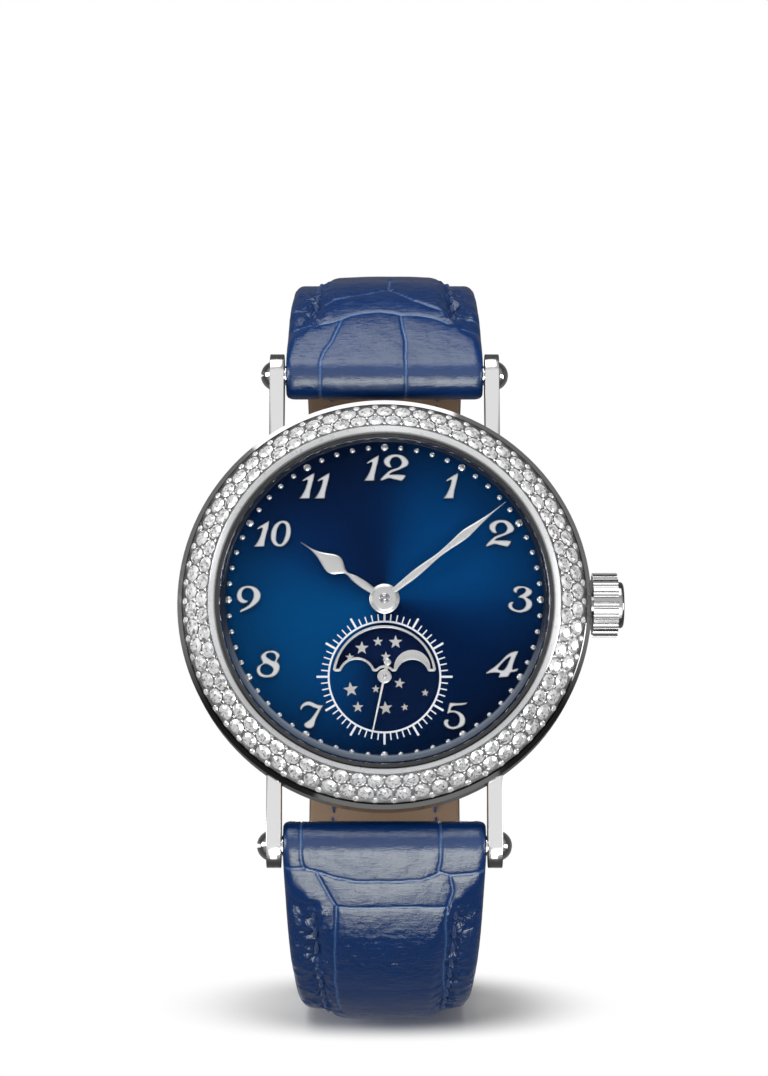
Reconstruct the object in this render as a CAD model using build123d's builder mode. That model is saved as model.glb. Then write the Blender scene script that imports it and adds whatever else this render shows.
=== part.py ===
from build123d import *
import math
import os

os.makedirs("parts", exist_ok=True)

# Moon phase watch, lying dial up. Millimetres. The dial looks along +Z, twelve o'clock is +Y,
# the crown is at +X, and the origin is the centre of the case back's outer face.

# Shared allowances
fit_gap = 0.05
loose_gap = 0.15
overrun = 2.0

# Case
movement_radius = 11.7
movement_ring_width = 0.9
case_bore_radius = movement_radius + movement_ring_width
case_wall = 3.9
case_radius = case_bore_radius + case_wall
case_bottom = 1.0
case_top = 4.0
case_edge = 0.3
back_rim_width = 1.1
back_ring_radius = case_radius - back_rim_width
back_ring_top = 1.3
back_glass_inset = 0.4
back_glass_radius = movement_radius - back_glass_inset
back_glass_thickness = 0.7
back_lip_width = 0.4
back_lip_radius = back_glass_radius - back_lip_width
back_gasket_inset = 1.1
back_gasket_radius = back_ring_radius - back_gasket_inset
back_gasket_width = 0.6
back_gasket_height = 0.35

# Lugs and the screwed strap bars
strap_width = 16.0
lug_side_gap = 0.17
lug_gap = strap_width + 2 * lug_side_gap
lug_width = 1.15
lug_overhang = 4.4
lug_reach = case_radius + lug_overhang
lug_end_radius = 1.75
lug_axis_z = 2.1
lug_root_inset = 3.6
lug_root_y = case_radius - lug_root_inset
lug_root_bottom = 1.2
lug_root_step = 0.2
lug_root_top = case_top - lug_root_step
bar_radius = 0.8
bar_end_gap = 0.07
screw_head_radius = 1.225
screw_head_proud = 0.78
screw_seat_depth = 0.57
screw_shank_radius = 0.55
screw_shank_length = 2.2
screw_slot_width = 0.37
screw_slot_depth = 0.35

# Bezel, its stones and the glass
dial_top = 5.6
flange_height = 0.35
glass_edge_bottom = dial_top + flange_height
bezel_rim_width = 0.35
bezel_band_width = 2.25
bezel_lip_width = 0.5
bezel_slope_radius = case_radius - bezel_rim_width
bezel_crest_radius = bezel_slope_radius - bezel_band_width
bezel_inner_radius = bezel_crest_radius - bezel_lip_width
bezel_lip_height = 0.25
bezel_wall_top = glass_edge_bottom + bezel_lip_height
bezel_crest_z = bezel_wall_top + bezel_lip_width
bezel_side_height = 0.52
bezel_rim_height = 0.13
channel_depth = 0.5
channel_margin = 0.1
stone_count = 66
stone_radius = 0.63
stone_table_radius = 0.36
stone_crown_height = 0.2
stone_girdle_height = 0.04
stone_pavilion_depth = 0.42
stone_row_place = 0.78
stone_row_step = 1.2
edge_stone_radius = 0.25
edge_stone_step = 0.64
bead_radius = 0.14
bead_proud = 0.12
crystal_gasket_width = 0.275
glass_radius = bezel_inner_radius - fit_gap / 2 - crystal_gasket_width
glass_edge_height = 0.85
glass_edge_top = glass_edge_bottom + glass_edge_height
glass_bevel = 0.35
glass_recess_width = 0.3
glass_recess_height = 0.75
glass_under_rise = 0.45
glass_top_rise = 0.75
flange_width = 0.2
flange_inner_radius = glass_radius - flange_width
glass_recess_radius = flange_inner_radius - glass_recess_width
glass_under_centre = glass_edge_bottom + glass_recess_height + glass_under_rise
glass_top_centre = glass_edge_top + glass_bevel + glass_top_rise

# Dial
dial_thickness = 0.4
dial_radius = bezel_inner_radius - 2 * fit_gap
dial_bottom = dial_top - dial_thickness
dial_hole_radius = 0.85
marker_height = 0.22
dot_circle_inset = 0.55
dot_circle_radius = flange_inner_radius - dot_circle_inset
hour_dot_radius = 0.305
minute_dot_radius = 0.215
dot_height = 0.16
numeral_height = 2.12

# Small seconds and moon display under the dial's lower half
moon_distance_share = 0.5256
moon_centre_y = -moon_distance_share * movement_radius
moon_window_radius = 3.9
moon_window_floor = 0.62
moon_hump_radius = 1.5
moon_hump_x = 2.19
moon_hump_y = 0.05
moon_boss_radius = 0.9
moon_rim_width = 0.2
moon_rim_height = 0.12
moon_disc_radius = 4.25
moon_disc_drop = 0.24
moon_disc_bottom = dial_bottom - moon_disc_drop
moon_disc_thickness = 0.12
moon_radius = 1.44
moon_orbit_radius = 2.32
moon_angle = 19.4
moon_relief = 0.05
moon_disc_teeth = 59
star_tips = 5
moon_bush_radius = 0.4

# Hands, drawn at 10:08:32
hour_hand_angle = 304.3
minute_hand_angle = 51.2
seconds_hand_angle = 192.0
hour_hand_length_share = 0.6518
hour_hand_length = hour_hand_length_share * dot_circle_radius
hour_hand_rise = 0.5
hour_hand_bottom = dial_top + hour_hand_rise
hour_hand_thickness = 0.15
hour_boss_radius = 1.2
minute_hand_length = dot_circle_radius
minute_hand_rise = 0.8
minute_hand_bottom = dial_top + minute_hand_rise
minute_hand_thickness = 0.12
minute_boss_radius = 1.03
seconds_hand_length = 4.9
seconds_hand_rise = 0.26
seconds_hand_bottom = dial_top + seconds_hand_rise
seconds_hand_thickness = 0.1
seconds_boss_radius = 0.56
seconds_tail_length = 1.15
seconds_tail_radius = 0.28
seconds_needle_width = 0.17

# Movement levels, counted up from the case back
mainplate_bottom = 3.3
motion_works_height = 0.8
mainplate_top = dial_bottom - motion_works_height
bridge_bottom = 2.0
bridge_top = 1.3
cock_underside = 1.9
foot_width = 1.4
movement_ring_bottom = 1.5

# Crown, stem and corrector
stem_z = 3.0
stem_radius = 0.45
stem_inner_share = 0.6752
stem_inner_end = stem_inner_share * movement_radius
crown_gap = 0.12
crown_start = case_radius + crown_gap
stem_thread_length = 1.73
stem_outer_end = crown_start + stem_thread_length
crown_length = 1.98
crown_radius = 2.575
crown_flutes = 18
crown_flute_radius = 0.3
crown_cap_radius = 1.85
crown_cap_height = 0.5
crown_tube_radius = 0.92
crown_tube_inset = 0.4
crown_tube_start = case_bore_radius + crown_tube_inset
crown_tube_proud = 1.3
crown_tube_end = case_radius + crown_tube_proud
crown_skirt_radius = 1.02
crown_skirt_depth = 1.4
crown_gasket_radius = 1.25
crown_gasket_inset = 0.38
crown_gasket_start = crown_start + crown_gasket_inset
crown_gasket_width = 0.35
corrector_angle = 214.0
corrector_z = 2.75
corrector_radius = 0.55
corrector_length = 2.8
corrector_recess = 0.08

# Strap loop: each half lies on a circle whose centre is set off towards its own end
strap_buckle_width = 14.0
strap_nose_radius = 1.95
strap_circle_y = 11.0
strap_circle_z = -16.4
strap_thickness = 2.2
strap_padding = 0.5
lining_thickness = 0.7
tail_gap = 0.3
tail_slope = 15.0
tail_bend_radius = 12.0
tail_end_angle = -50.0

# Buckle and keepers
buckle_bar_y = 1.0
buckle_bar_radius = 0.5
buckle_arm_width = 1.1
buckle_arm_radius = 1.1
buckle_side_gap = 0.35
buckle_front_y = -9.0
buckle_front_radius = 0.8
buckle_nose_radius = 1.25
tongue_width = 1.5
tongue_thickness = 0.72
tongue_ring_radius = 0.95
tongue_knee_share = 2.5
tongue_elbow_share = 4.6
tongue_hole_place_share = 3.5
tongue_hole_length_share = 4.1
tongue_recess_share = 4.0
keeper_thickness = 0.9
keeper_width = 3.0
fixed_keeper_y = 4.6
free_keeper_y = 9.0
keeper_side_gap = 0.15


def write_piece(builder, name):
    """Give the finished piece its name and save it."""
    builder.part.label = name
    export_step(builder.part, "parts/" + name + ".step")


def round_bar(radius, low, high, at=(0, 0), mode=Mode.ADD):
    """Upright cylinder between two heights, added to the part being built."""
    with BuildSketch(Plane.XY.offset(low)) as disc:
        with Locations(at):
            Circle(radius)
    extrude(disc.sketch, amount=high - low, mode=mode)


def polar_point(radius, angle, centre=(0, 0)):
    """Point at a radius and an angle in degrees round a centre."""
    turn = math.radians(angle)
    return (centre[0] + radius * math.cos(turn), centre[1] + radius * math.sin(turn))


def draw_runs(runs, scale, shift=(0, 0)):
    """Closed outline from runs of points: two points make a line, more make a smooth curve."""
    start = runs[0][0]
    last = None
    for run in runs:
        points = list(run) if last is None else [last] + list(run)
        last = points[-1]
        placed = [(shift[0] + scale * x, shift[1] + scale * y) for x, y in points]
        if len(placed) == 2:
            Line(*placed)
        else:
            Spline(*placed)
    if last != start:
        Line(
            (shift[0] + scale * last[0], shift[1] + scale * last[1]),
            (shift[0] + scale * start[0], shift[1] + scale * start[1]),
        )


# Tooth form, as shares of the module or of the tooth pitch
tooth_top_share = 0.55
tooth_root_share = 0.8
tooth_foot_share = 0.24
tooth_tip_share = 0.1


def gear_points(teeth, module, phase):
    """Outline of a thin toothed wheel with one tooth centred on the phase angle."""
    pitch = 360 / teeth
    root = module * (teeth / 2 - tooth_root_share)
    tip = module * (teeth / 2 + tooth_top_share)
    points = []
    for number in range(teeth):
        middle = phase + number * pitch
        points.append(polar_point(root, middle - pitch * tooth_foot_share))
        points.append(polar_point(tip, middle - pitch * tooth_tip_share))
        points.append(polar_point(tip, middle + pitch * tooth_tip_share))
        points.append(polar_point(root, middle + pitch * tooth_foot_share))
    return points


def gear_plate(teeth, module, phase, low, high, at):
    """Toothed plate between two heights, added to the part being built."""
    with BuildSketch(Plane((at[0], at[1], low))) as wheel:
        with BuildLine():
            Polyline(*gear_points(teeth, module, phase), close=True)
        make_face()
    extrude(wheel.sketch, amount=high - low)


def spoked_cut(inner, outer, spokes, spoke_width, low, high, at):
    """Windows between the spokes of a wheel."""
    with BuildSketch(Plane((at[0], at[1], low))) as windows:
        Circle(outer)
        Circle(inner, mode=Mode.SUBTRACT)
        with PolarLocations(0, spokes):
            with Locations((outer / 2, 0)):
                Rectangle(outer + spoke_width, spoke_width, mode=Mode.SUBTRACT)
    extrude(windows.sketch, amount=high - low, mode=Mode.SUBTRACT)


# Case back: a steel ring with a glass window let in flush from outside
with BuildPart() as case_back:
    round_bar(back_ring_radius, 0, back_ring_top)
    round_bar(back_glass_radius + fit_gap, 0, back_glass_thickness + fit_gap, mode=Mode.SUBTRACT)
    round_bar(back_lip_radius, 0, back_ring_top, mode=Mode.SUBTRACT)
    chamfer(case_back.edges().group_by(Axis.Z)[0].sort_by(SortBy.LENGTH)[-1], case_edge / 2)
write_piece(case_back, "case_back")

with BuildPart() as back_crystal:
    round_bar(back_glass_radius, 0, back_glass_thickness)
write_piece(back_crystal, "back_crystal")

gasket_inner = back_gasket_radius - back_gasket_width / 2
gasket_outer = back_gasket_radius + back_gasket_width / 2
with BuildPart() as case_back_gasket:
    round_bar(gasket_outer, back_ring_top, back_ring_top + back_gasket_height)
    round_bar(gasket_inner, back_ring_top, back_ring_top + back_gasket_height, mode=Mode.SUBTRACT)
write_piece(case_back_gasket, "case_back_gasket")

# Case middle with its four straight lugs
lug_inner_x = lug_gap / 2
lug_outer_x = lug_inner_x + lug_width
bar_axis_y = lug_reach - lug_end_radius
screw_seat_x = lug_outer_x - screw_seat_depth
corrector_plane = Plane(
    origin=(0, 0, corrector_z),
    x_dir=(0, 0, 1),
    z_dir=(*polar_point(1, corrector_angle), 0),
)
with BuildPart() as case_middle:
    round_bar(case_radius, case_bottom, case_top)
    chamfer(case_middle.edges().group_by(Axis.Z)[0], case_edge)
    for side in (1, -1):
        for end in (1, -1):
            with BuildSketch(Plane.YZ.offset(side * (lug_inner_x + lug_width / 2))):
                with BuildLine():
                    Polyline(
                        (end * lug_root_y, lug_root_bottom),
                        (end * bar_axis_y, lug_axis_z - lug_end_radius),
                        (end * bar_axis_y, lug_axis_z + lug_end_radius),
                        (end * lug_root_y, lug_root_top),
                        close=True,
                    )
                make_face()
                with Locations((end * bar_axis_y, lug_axis_z)):
                    Circle(lug_end_radius)
            extrude(amount=lug_width / 2, both=True)
    round_bar(case_bore_radius, case_bottom, case_top, mode=Mode.SUBTRACT)
    round_bar(back_ring_radius + fit_gap, case_bottom, back_ring_top, mode=Mode.SUBTRACT)
    with BuildSketch(Plane.XY.offset(back_ring_top)):
        Circle(gasket_outer + fit_gap)
        Circle(gasket_inner - fit_gap, mode=Mode.SUBTRACT)
    extrude(amount=back_gasket_height + fit_gap, mode=Mode.SUBTRACT)
    for end in (1, -1):
        with BuildSketch(Plane.YZ):
            with Locations((end * bar_axis_y, lug_axis_z)):
                Circle(screw_shank_radius + fit_gap)
        extrude(amount=lug_outer_x + overrun, both=True, mode=Mode.SUBTRACT)
        for side in (1, -1):
            with BuildSketch(Plane.YZ.offset(side * screw_seat_x)):
                with Locations((end * bar_axis_y, lug_axis_z)):
                    Circle(screw_head_radius + fit_gap)
            extrude(amount=side * overrun, mode=Mode.SUBTRACT)
    with BuildSketch(Plane.YZ.offset(case_bore_radius - overrun)):
        with Locations((0, stem_z)):
            Circle(crown_tube_radius)
    extrude(amount=case_radius - case_bore_radius + 2 * overrun, mode=Mode.SUBTRACT)
    with BuildSketch(corrector_plane.offset(case_bore_radius - overrun)):
        Circle(corrector_radius + fit_gap)
    extrude(amount=case_radius - case_bore_radius + 2 * overrun, mode=Mode.SUBTRACT)
write_piece(case_middle, "case_middle")

# Strap bars: one tube for each end, held by a ball-headed screw at either side
bar_half = lug_inner_x - bar_end_gap
with BuildPart() as strap_bars:
    for end in (1, -1):
        with BuildSketch(Plane.YZ):
            with Locations((end * bar_axis_y, lug_axis_z)):
                Circle(bar_radius)
        extrude(amount=bar_half, both=True)
        for side in (1, -1):
            with BuildSketch(Plane.YZ.offset(side * bar_half)):
                with Locations((end * bar_axis_y, lug_axis_z)):
                    Circle(screw_shank_radius + fit_gap / 2)
            extrude(amount=-side * screw_shank_length, mode=Mode.SUBTRACT)
write_piece(strap_bars, "strap_bars")

ball_centre_x = lug_outer_x + screw_head_proud - screw_head_radius
with BuildPart() as strap_bar_screws:
    for end in (1, -1):
        for side in (1, -1):
            with Locations((side * ball_centre_x, end * bar_axis_y, lug_axis_z)):
                Sphere(screw_head_radius)
    with BuildSketch(Plane.XY.offset(lug_axis_z)):
        Rectangle(2 * screw_seat_x, 2 * lug_reach + overrun)
    extrude(amount=screw_head_radius + overrun, both=True, mode=Mode.SUBTRACT)
    for end in (1, -1):
        for side in (1, -1):
            with BuildSketch(Plane.YZ.offset(side * screw_seat_x)):
                with Locations((end * bar_axis_y, lug_axis_z)):
                    Circle(screw_shank_radius)
            extrude(amount=-side * screw_shank_length)
            with Locations((side * (lug_outer_x + screw_head_proud), end * bar_axis_y, lug_axis_z)):
                Box(
                    2 * screw_slot_depth,
                    screw_slot_width,
                    2 * screw_head_radius + overrun,
                    mode=Mode.SUBTRACT,
                )
write_piece(strap_bar_screws, "strap_bar_screws")

# Bezel: a cone from the crest down to the rim, with a channel that the stones stand in
slope_run = bezel_slope_radius - bezel_crest_radius
bezel_side_top = case_top + bezel_side_height
slope_drop = bezel_crest_z - bezel_side_top - bezel_rim_height
slope_length = math.hypot(slope_run, slope_drop)
slope_along = (slope_run / slope_length, -slope_drop / slope_length)
slope_normal = (slope_drop / slope_length, slope_run / slope_length)


def slope_point(place, height=0):
    """Radius and height of a point at a distance down the slope, raised along its normal."""
    return (
        bezel_crest_radius + slope_along[0] * place + slope_normal[0] * height,
        bezel_crest_z + slope_along[1] * place + slope_normal[1] * height,
    )


def slope_locations(place, height, angle_share):
    """One location for each stone in a ring on the slope, its Z axis along the slope's normal."""
    radius, level = slope_point(place, height)
    spots = []
    for number in range(stone_count):
        angle = (number + angle_share) * 360 / stone_count
        x, y = polar_point(radius, angle)
        out_x, out_y = polar_point(slope_normal[0], angle)
        spots.append(Plane(origin=(x, y, level), z_dir=(out_x, out_y, slope_normal[1])).location)
    return spots


channel_end = slope_length - channel_margin
with BuildPart() as bezel:
    with BuildSketch(Plane.XZ):
        with BuildLine():
            Polyline(
                (bezel_inner_radius, case_top),
                (case_radius, case_top),
                (case_radius, bezel_side_top),
                slope_point(slope_length),
                slope_point(channel_end),
                slope_point(channel_end, -channel_depth),
                slope_point(channel_margin, -channel_depth),
                slope_point(channel_margin),
                slope_point(0),
                (bezel_inner_radius, bezel_wall_top),
                close=True,
            )
        make_face()
    revolve(axis=Axis.Z)
write_piece(bezel, "bezel")

with BuildPart(mode=Mode.PRIVATE) as round_stone:
    with BuildSketch(Plane.XZ):
        with BuildLine():
            Polyline(
                (0, -stone_pavilion_depth),
                (stone_radius, 0),
                (stone_radius, stone_girdle_height),
                (stone_table_radius, stone_crown_height),
                (0, stone_crown_height),
                close=True,
            )
        make_face()
    revolve(axis=Axis.Z)

stone_base = fit_gap / 2
outer_row_place = stone_row_place + stone_row_step
edge_row_place = outer_row_place + edge_stone_step
with BuildPart() as bezel_stones_inner:
    with Locations(*slope_locations(stone_row_place, -stone_base, 0)):
        add(round_stone.part)
write_piece(bezel_stones_inner, "bezel_stones_inner")

with BuildPart() as bezel_stones_outer:
    with Locations(*slope_locations(outer_row_place, -stone_base, 1 / 2)):
        add(round_stone.part)
write_piece(bezel_stones_outer, "bezel_stones_outer")

with BuildPart() as bezel_stones_edge:
    with Locations(*slope_locations(edge_row_place, -channel_depth + stone_base, 0)):
        Cylinder(
            edge_stone_radius,
            channel_depth + bead_proud,
            align=(Align.CENTER, Align.CENTER, Align.MIN),
        )
write_piece(bezel_stones_edge, "bezel_stones_edge")

bead_inset = stone_row_step / 3
with BuildPart() as bezel_beads:
    bead_rings = (
        (stone_row_place - bead_inset, 1 / 2),
        (stone_row_place + bead_inset, 1 / 2),
        (outer_row_place - bead_inset, 0),
    )
    for place, angle_share in bead_rings:
        with Locations(*slope_locations(place, -channel_depth, angle_share)):
            Cylinder(
                bead_radius,
                channel_depth + bead_proud,
                align=(Align.CENTER, Align.CENTER, Align.MIN),
            )
write_piece(bezel_beads, "bezel_beads")

# Glass, its gasket and the polished flange that it stands on
gasket_radius = bezel_inner_radius - fit_gap / 2


def dome_height(centre_z, rim_radius, rim_z, at_radius):
    """Height of a shallow dome at a radius, from its centre and its rim."""
    rise = centre_z - rim_z
    radius = (rim_radius**2 + rise**2) / (2 * rise)
    return centre_z - radius + math.sqrt(radius**2 - at_radius**2)


with BuildPart() as crystal:
    with BuildSketch(Plane.XZ):
        with BuildLine():
            rim_radius = glass_radius - glass_bevel
            rim_top = glass_edge_top + glass_bevel
            recess_z = glass_edge_bottom + glass_recess_height
            half = glass_radius / 2
            ThreePointArc(
                (0, glass_top_centre),
                (half, dome_height(glass_top_centre, rim_radius, rim_top, half)),
                (rim_radius, rim_top),
            )
            Line((rim_radius, rim_top), (glass_radius, glass_edge_top))
            Line((glass_radius, glass_edge_top), (glass_radius, glass_edge_bottom))
            Line((glass_radius, glass_edge_bottom), (flange_inner_radius, glass_edge_bottom))
            Line((flange_inner_radius, glass_edge_bottom), (glass_recess_radius, recess_z))
            ThreePointArc(
                (glass_recess_radius, recess_z),
                (half, dome_height(glass_under_centre, glass_recess_radius, recess_z, half)),
                (0, glass_under_centre),
            )
            Line((0, glass_under_centre), (0, glass_top_centre))
        make_face()
    revolve(axis=Axis.Z)
write_piece(crystal, "crystal")

with BuildPart() as crystal_gasket:
    round_bar(gasket_radius, glass_edge_bottom, bezel_wall_top)
    round_bar(glass_radius, glass_edge_bottom, bezel_wall_top, mode=Mode.SUBTRACT)
write_piece(crystal_gasket, "crystal_gasket")

with BuildPart() as flange:
    with BuildSketch(Plane.XZ):
        with BuildLine():
            Polyline(
                (flange_inner_radius, dial_top),
                (dial_radius, dial_top),
                (dial_radius, glass_edge_bottom),
                (flange_inner_radius + flange_height / 2, glass_edge_bottom),
                close=True,
            )
        make_face()
    revolve(axis=Axis.Z)
write_piece(flange, "flange")

# Outlines of the applied numerals in shares of their height: runs of points between corners,
# starting at the first point, x from the figure's middle and y up from its foot
one_shares = (
    ((0.17, 0.99), (0.05, 0.39), (0.0, 0.08), (0.0, 0.01)),
    ((-0.4, 0.0),),
    ((-0.3, 0.13), (-0.18, 0.36), (-0.1, 0.61), (-0.08, 0.71)),
    ((-0.1, 0.73),),
    ((-0.26, 0.66),),
    ((-0.29, 0.69),),
    ((-0.13, 0.82), (0.03, 0.91), (0.17, 0.99)),
)
two_shares = (
    (
        (-0.08, 0.52), (-0.2, 0.52), (-0.32, 0.61), (-0.38, 0.73), (-0.36, 0.84), (-0.24, 0.95),
        (-0.06, 1.02), (0.1, 1.03), (0.32, 0.99), (0.47, 0.88), (0.56, 0.74), (0.54, 0.61),
        (0.41, 0.52), (0.23, 0.44), (0.02, 0.36), (-0.11, 0.3), (-0.18, 0.23),
    ),
    ((0.02, 0.25), (0.45, 0.22)),
    ((0.45, 0.17),),
    (
        (0.38, 0.08), (0.29, 0.0), (0.18, 0.02), (-0.01, 0.06), (-0.16, 0.1), (-0.34, 0.05),
        (-0.49, 0.0),
    ),
    ((-0.51, 0.05),),
    (
        (-0.4, 0.18), (-0.27, 0.31), (-0.11, 0.42), (0.06, 0.48), (0.19, 0.53), (0.28, 0.64),
        (0.29, 0.74), (0.24, 0.84), (0.15, 0.91), (0.07, 0.92), (-0.05, 0.88), (-0.12, 0.79),
        (-0.14, 0.69), (-0.11, 0.6), (-0.08, 0.52),
    ),
)
three_shares = (
    (
        (-0.12, 0.74), (-0.22, 0.77), (-0.26, 0.87), (-0.2, 0.95), (0.0, 1.01), (0.2, 0.98),
        (0.38, 0.9), (0.45, 0.8), (0.4, 0.69), (0.2, 0.59),
    ),
    (
        (0.32, 0.53), (0.43, 0.43), (0.45, 0.3), (0.38, 0.16), (0.24, 0.06), (0.03, 0.0),
        (-0.2, 0.03), (-0.39, 0.13), (-0.46, 0.27), (-0.4, 0.38), (-0.27, 0.41), (-0.23, 0.39),
    ),
    (
        (-0.29, 0.32), (-0.29, 0.22), (-0.19, 0.13), (0.0, 0.1), (0.15, 0.18), (0.21, 0.33),
        (0.16, 0.48), (0.05, 0.55), (-0.07, 0.56),
    ),
    ((-0.07, 0.61),),
    (
        (0.05, 0.68), (0.18, 0.78), (0.21, 0.86), (0.15, 0.92), (0.05, 0.93), (-0.07, 0.88),
        (-0.12, 0.74),
    ),
)
four_shares = (
    (
        (0.63, 0.99), (0.46, 0.98), (0.22, 0.87), (-0.07, 0.58), (-0.37, 0.34), (-0.6, 0.18),
    ),
    ((-0.57, 0.14),),
    ((-0.37, 0.18), (-0.07, 0.16)),
    ((-0.13, 0.0),),
    ((0.2, 0.02),),
    ((0.26, 0.08), (0.31, 0.19)),
    ((0.44, 0.21), (0.57, 0.25)),
    ((0.62, 0.36),),
    ((0.48, 0.31), (0.38, 0.3)),
    ((0.44, 0.56), (0.53, 0.79), (0.63, 0.99)),
)
four_hole_shares = (
    ((0.35, 0.8), (0.2, 0.71), (0.0, 0.52), (-0.16, 0.32)),
    ((-0.06, 0.28), (0.06, 0.28)),
    ((0.14, 0.37), (0.25, 0.58), (0.35, 0.8)),
)
five_shares = (
    ((-0.21, 1.0), (-0.01, 0.98), (0.21, 0.98), (0.45, 1.0)),
    ((0.36, 0.93), (0.14, 0.89), (-0.14, 0.83)),
    ((-0.2, 0.7),),
    (
        (-0.01, 0.7), (0.18, 0.63), (0.32, 0.5), (0.36, 0.34), (0.31, 0.17), (0.14, 0.06),
        (-0.08, 0.0), (-0.29, 0.04), (-0.41, 0.14), (-0.45, 0.25), (-0.4, 0.35), (-0.29, 0.38),
        (-0.24, 0.33),
    ),
    (
        (-0.28, 0.24), (-0.22, 0.13), (-0.08, 0.1), (0.06, 0.15), (0.14, 0.3), (0.13, 0.46),
        (0.03, 0.59), (-0.12, 0.63), (-0.23, 0.61), (-0.32, 0.57),
    ),
    ((-0.29, 0.7), (-0.26, 0.85), (-0.21, 1.0)),
)
seven_shares = (
    ((-0.39, 0.64), (-0.43, 0.71), (-0.34, 0.9), (-0.11, 0.99), (0.07, 0.93), (0.28, 0.85)),
    ((0.43, 0.84),),
    (
        (0.32, 0.67), (0.21, 0.44), (0.12, 0.21), (0.07, 0.05), (0.0, 0.0), (-0.2, 0.0),
        (-0.29, 0.1), (-0.11, 0.28), (0.09, 0.51), (0.23, 0.71),
    ),
    ((0.07, 0.75), (-0.14, 0.83), (-0.29, 0.79), (-0.39, 0.64)),
)
eight_shares = (
    (
        (0.07, 1.0), (0.34, 0.95), (0.43, 0.82), (0.33, 0.61), (0.41, 0.5), (0.43, 0.34),
        (0.27, 0.08), (0.0, 0.0), (-0.33, 0.07), (-0.43, 0.25), (-0.36, 0.44), (-0.21, 0.54),
        (-0.28, 0.75), (-0.17, 0.93), (0.07, 1.0),
    ),
)
eight_upper_hole_shares = (
    (
        (-0.08, 0.8), (-0.05, 0.89), (0.07, 0.93), (0.22, 0.89), (0.28, 0.77), (0.24, 0.63),
        (0.07, 0.68), (-0.08, 0.8),
    ),
)
eight_lower_hole_shares = (
    (
        (-0.29, 0.32), (-0.24, 0.45), (-0.11, 0.51), (0.06, 0.45), (0.18, 0.32), (0.13, 0.17),
        (-0.06, 0.1), (-0.24, 0.17), (-0.29, 0.32),
    ),
)
nine_shares = (
    (
        (-0.01, 0.44), (-0.21, 0.35), (-0.39, 0.45), (-0.45, 0.68), (-0.33, 0.92), (-0.04, 1.02),
        (0.28, 0.94), (0.45, 0.68), (0.4, 0.47), (0.21, 0.27), (-0.06, 0.11), (-0.32, 0.0),
    ),
    ((-0.33, 0.09),),
    (
        (-0.11, 0.21), (0.08, 0.38), (0.17, 0.59), (0.16, 0.78), (0.06, 0.9), (-0.07, 0.93),
        (-0.21, 0.85), (-0.26, 0.68), (-0.21, 0.53), (-0.09, 0.47), (-0.01, 0.44),
    ),
)
zero_shares = (
    (
        (0.04, 1.0), (0.29, 0.92), (0.38, 0.62), (0.25, 0.18), (-0.01, 0.0), (-0.28, 0.1),
        (-0.38, 0.45), (-0.24, 0.84), (0.04, 1.0),
    ),
)
zero_hole_shares = (
    (
        (0.04, 0.91), (0.16, 0.84), (0.19, 0.63), (0.11, 0.26), (-0.02, 0.1), (-0.14, 0.17),
        (-0.17, 0.42), (-0.09, 0.78), (0.04, 0.91),
    ),
)
figure_shares = {
    "0": (zero_shares, zero_hole_shares),
    "1": (one_shares,),
    "2": (two_shares,),
    "3": (three_shares,),
    "4": (four_shares, four_hole_shares),
    "5": (five_shares,),
    "7": (seven_shares,),
    "8": (eight_shares, eight_upper_hole_shares, eight_lower_hole_shares),
    "9": (nine_shares,),
}

# Each applied numeral: its figures with their sideways offset in shares of the height, and
# the place of its middle in shares of the dot circle's radius
numeral_shares = (
    ((("1", -0.45), ("2", 0.28)), (0.012, 0.862)),
    ((("1", 0.11),), (0.428, 0.745)),
    ((("2", 0.0),), (0.739, 0.429)),
    ((("3", 0.0),), (0.87, 0.0)),
    ((("4", 0.0),), (0.749, -0.419)),
    ((("5", 0.03),), (0.447, -0.751)),
    ((("7", 0.0),), (-0.462, -0.741)),
    ((("8", 0.0),), (-0.742, -0.419)),
    ((("9", 0.0),), (-0.87, 0.0)),
    ((("1", -0.29), ("0", 0.32)), (-0.722, 0.429)),
    ((("1", -0.17), ("1", 0.4)), (-0.453, 0.745)),
)

# Dial plate with the centre hole, the small seconds hole and the moon window
with BuildSketch(mode=Mode.PRIVATE) as window_outline:
    with Locations((0, moon_centre_y)):
        Circle(moon_window_radius)
        Circle(moon_boss_radius, mode=Mode.SUBTRACT)
    with Locations((0, moon_centre_y + moon_window_floor - moon_window_radius)):
        Rectangle(2 * moon_window_radius, 2 * moon_window_radius, mode=Mode.SUBTRACT)
    for side in (1, -1):
        with Locations((side * moon_hump_x, moon_centre_y + moon_hump_y)):
            Circle(moon_hump_radius, mode=Mode.SUBTRACT)

seconds_bore = moon_bush_radius - fit_gap
with BuildPart() as dial:
    round_bar(dial_radius, dial_bottom, dial_top)
    round_bar(dial_hole_radius, dial_bottom, dial_top, mode=Mode.SUBTRACT)
    round_bar(seconds_bore, dial_bottom, dial_top, (0, moon_centre_y), Mode.SUBTRACT)
    with BuildSketch(Plane.XY.offset(dial_bottom)):
        add(window_outline.sketch)
    extrude(amount=dial_top - dial_bottom, mode=Mode.SUBTRACT)
write_piece(dial, "dial")

with BuildPart() as moon_window_rim:
    with BuildSketch(Plane.XY.offset(dial_top)):
        add(window_outline.sketch)
        offset(amount=moon_rim_width)
        add(window_outline.sketch, mode=Mode.SUBTRACT)
    extrude(amount=moon_rim_height)
write_piece(moon_window_rim, "moon_window_rim")

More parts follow.
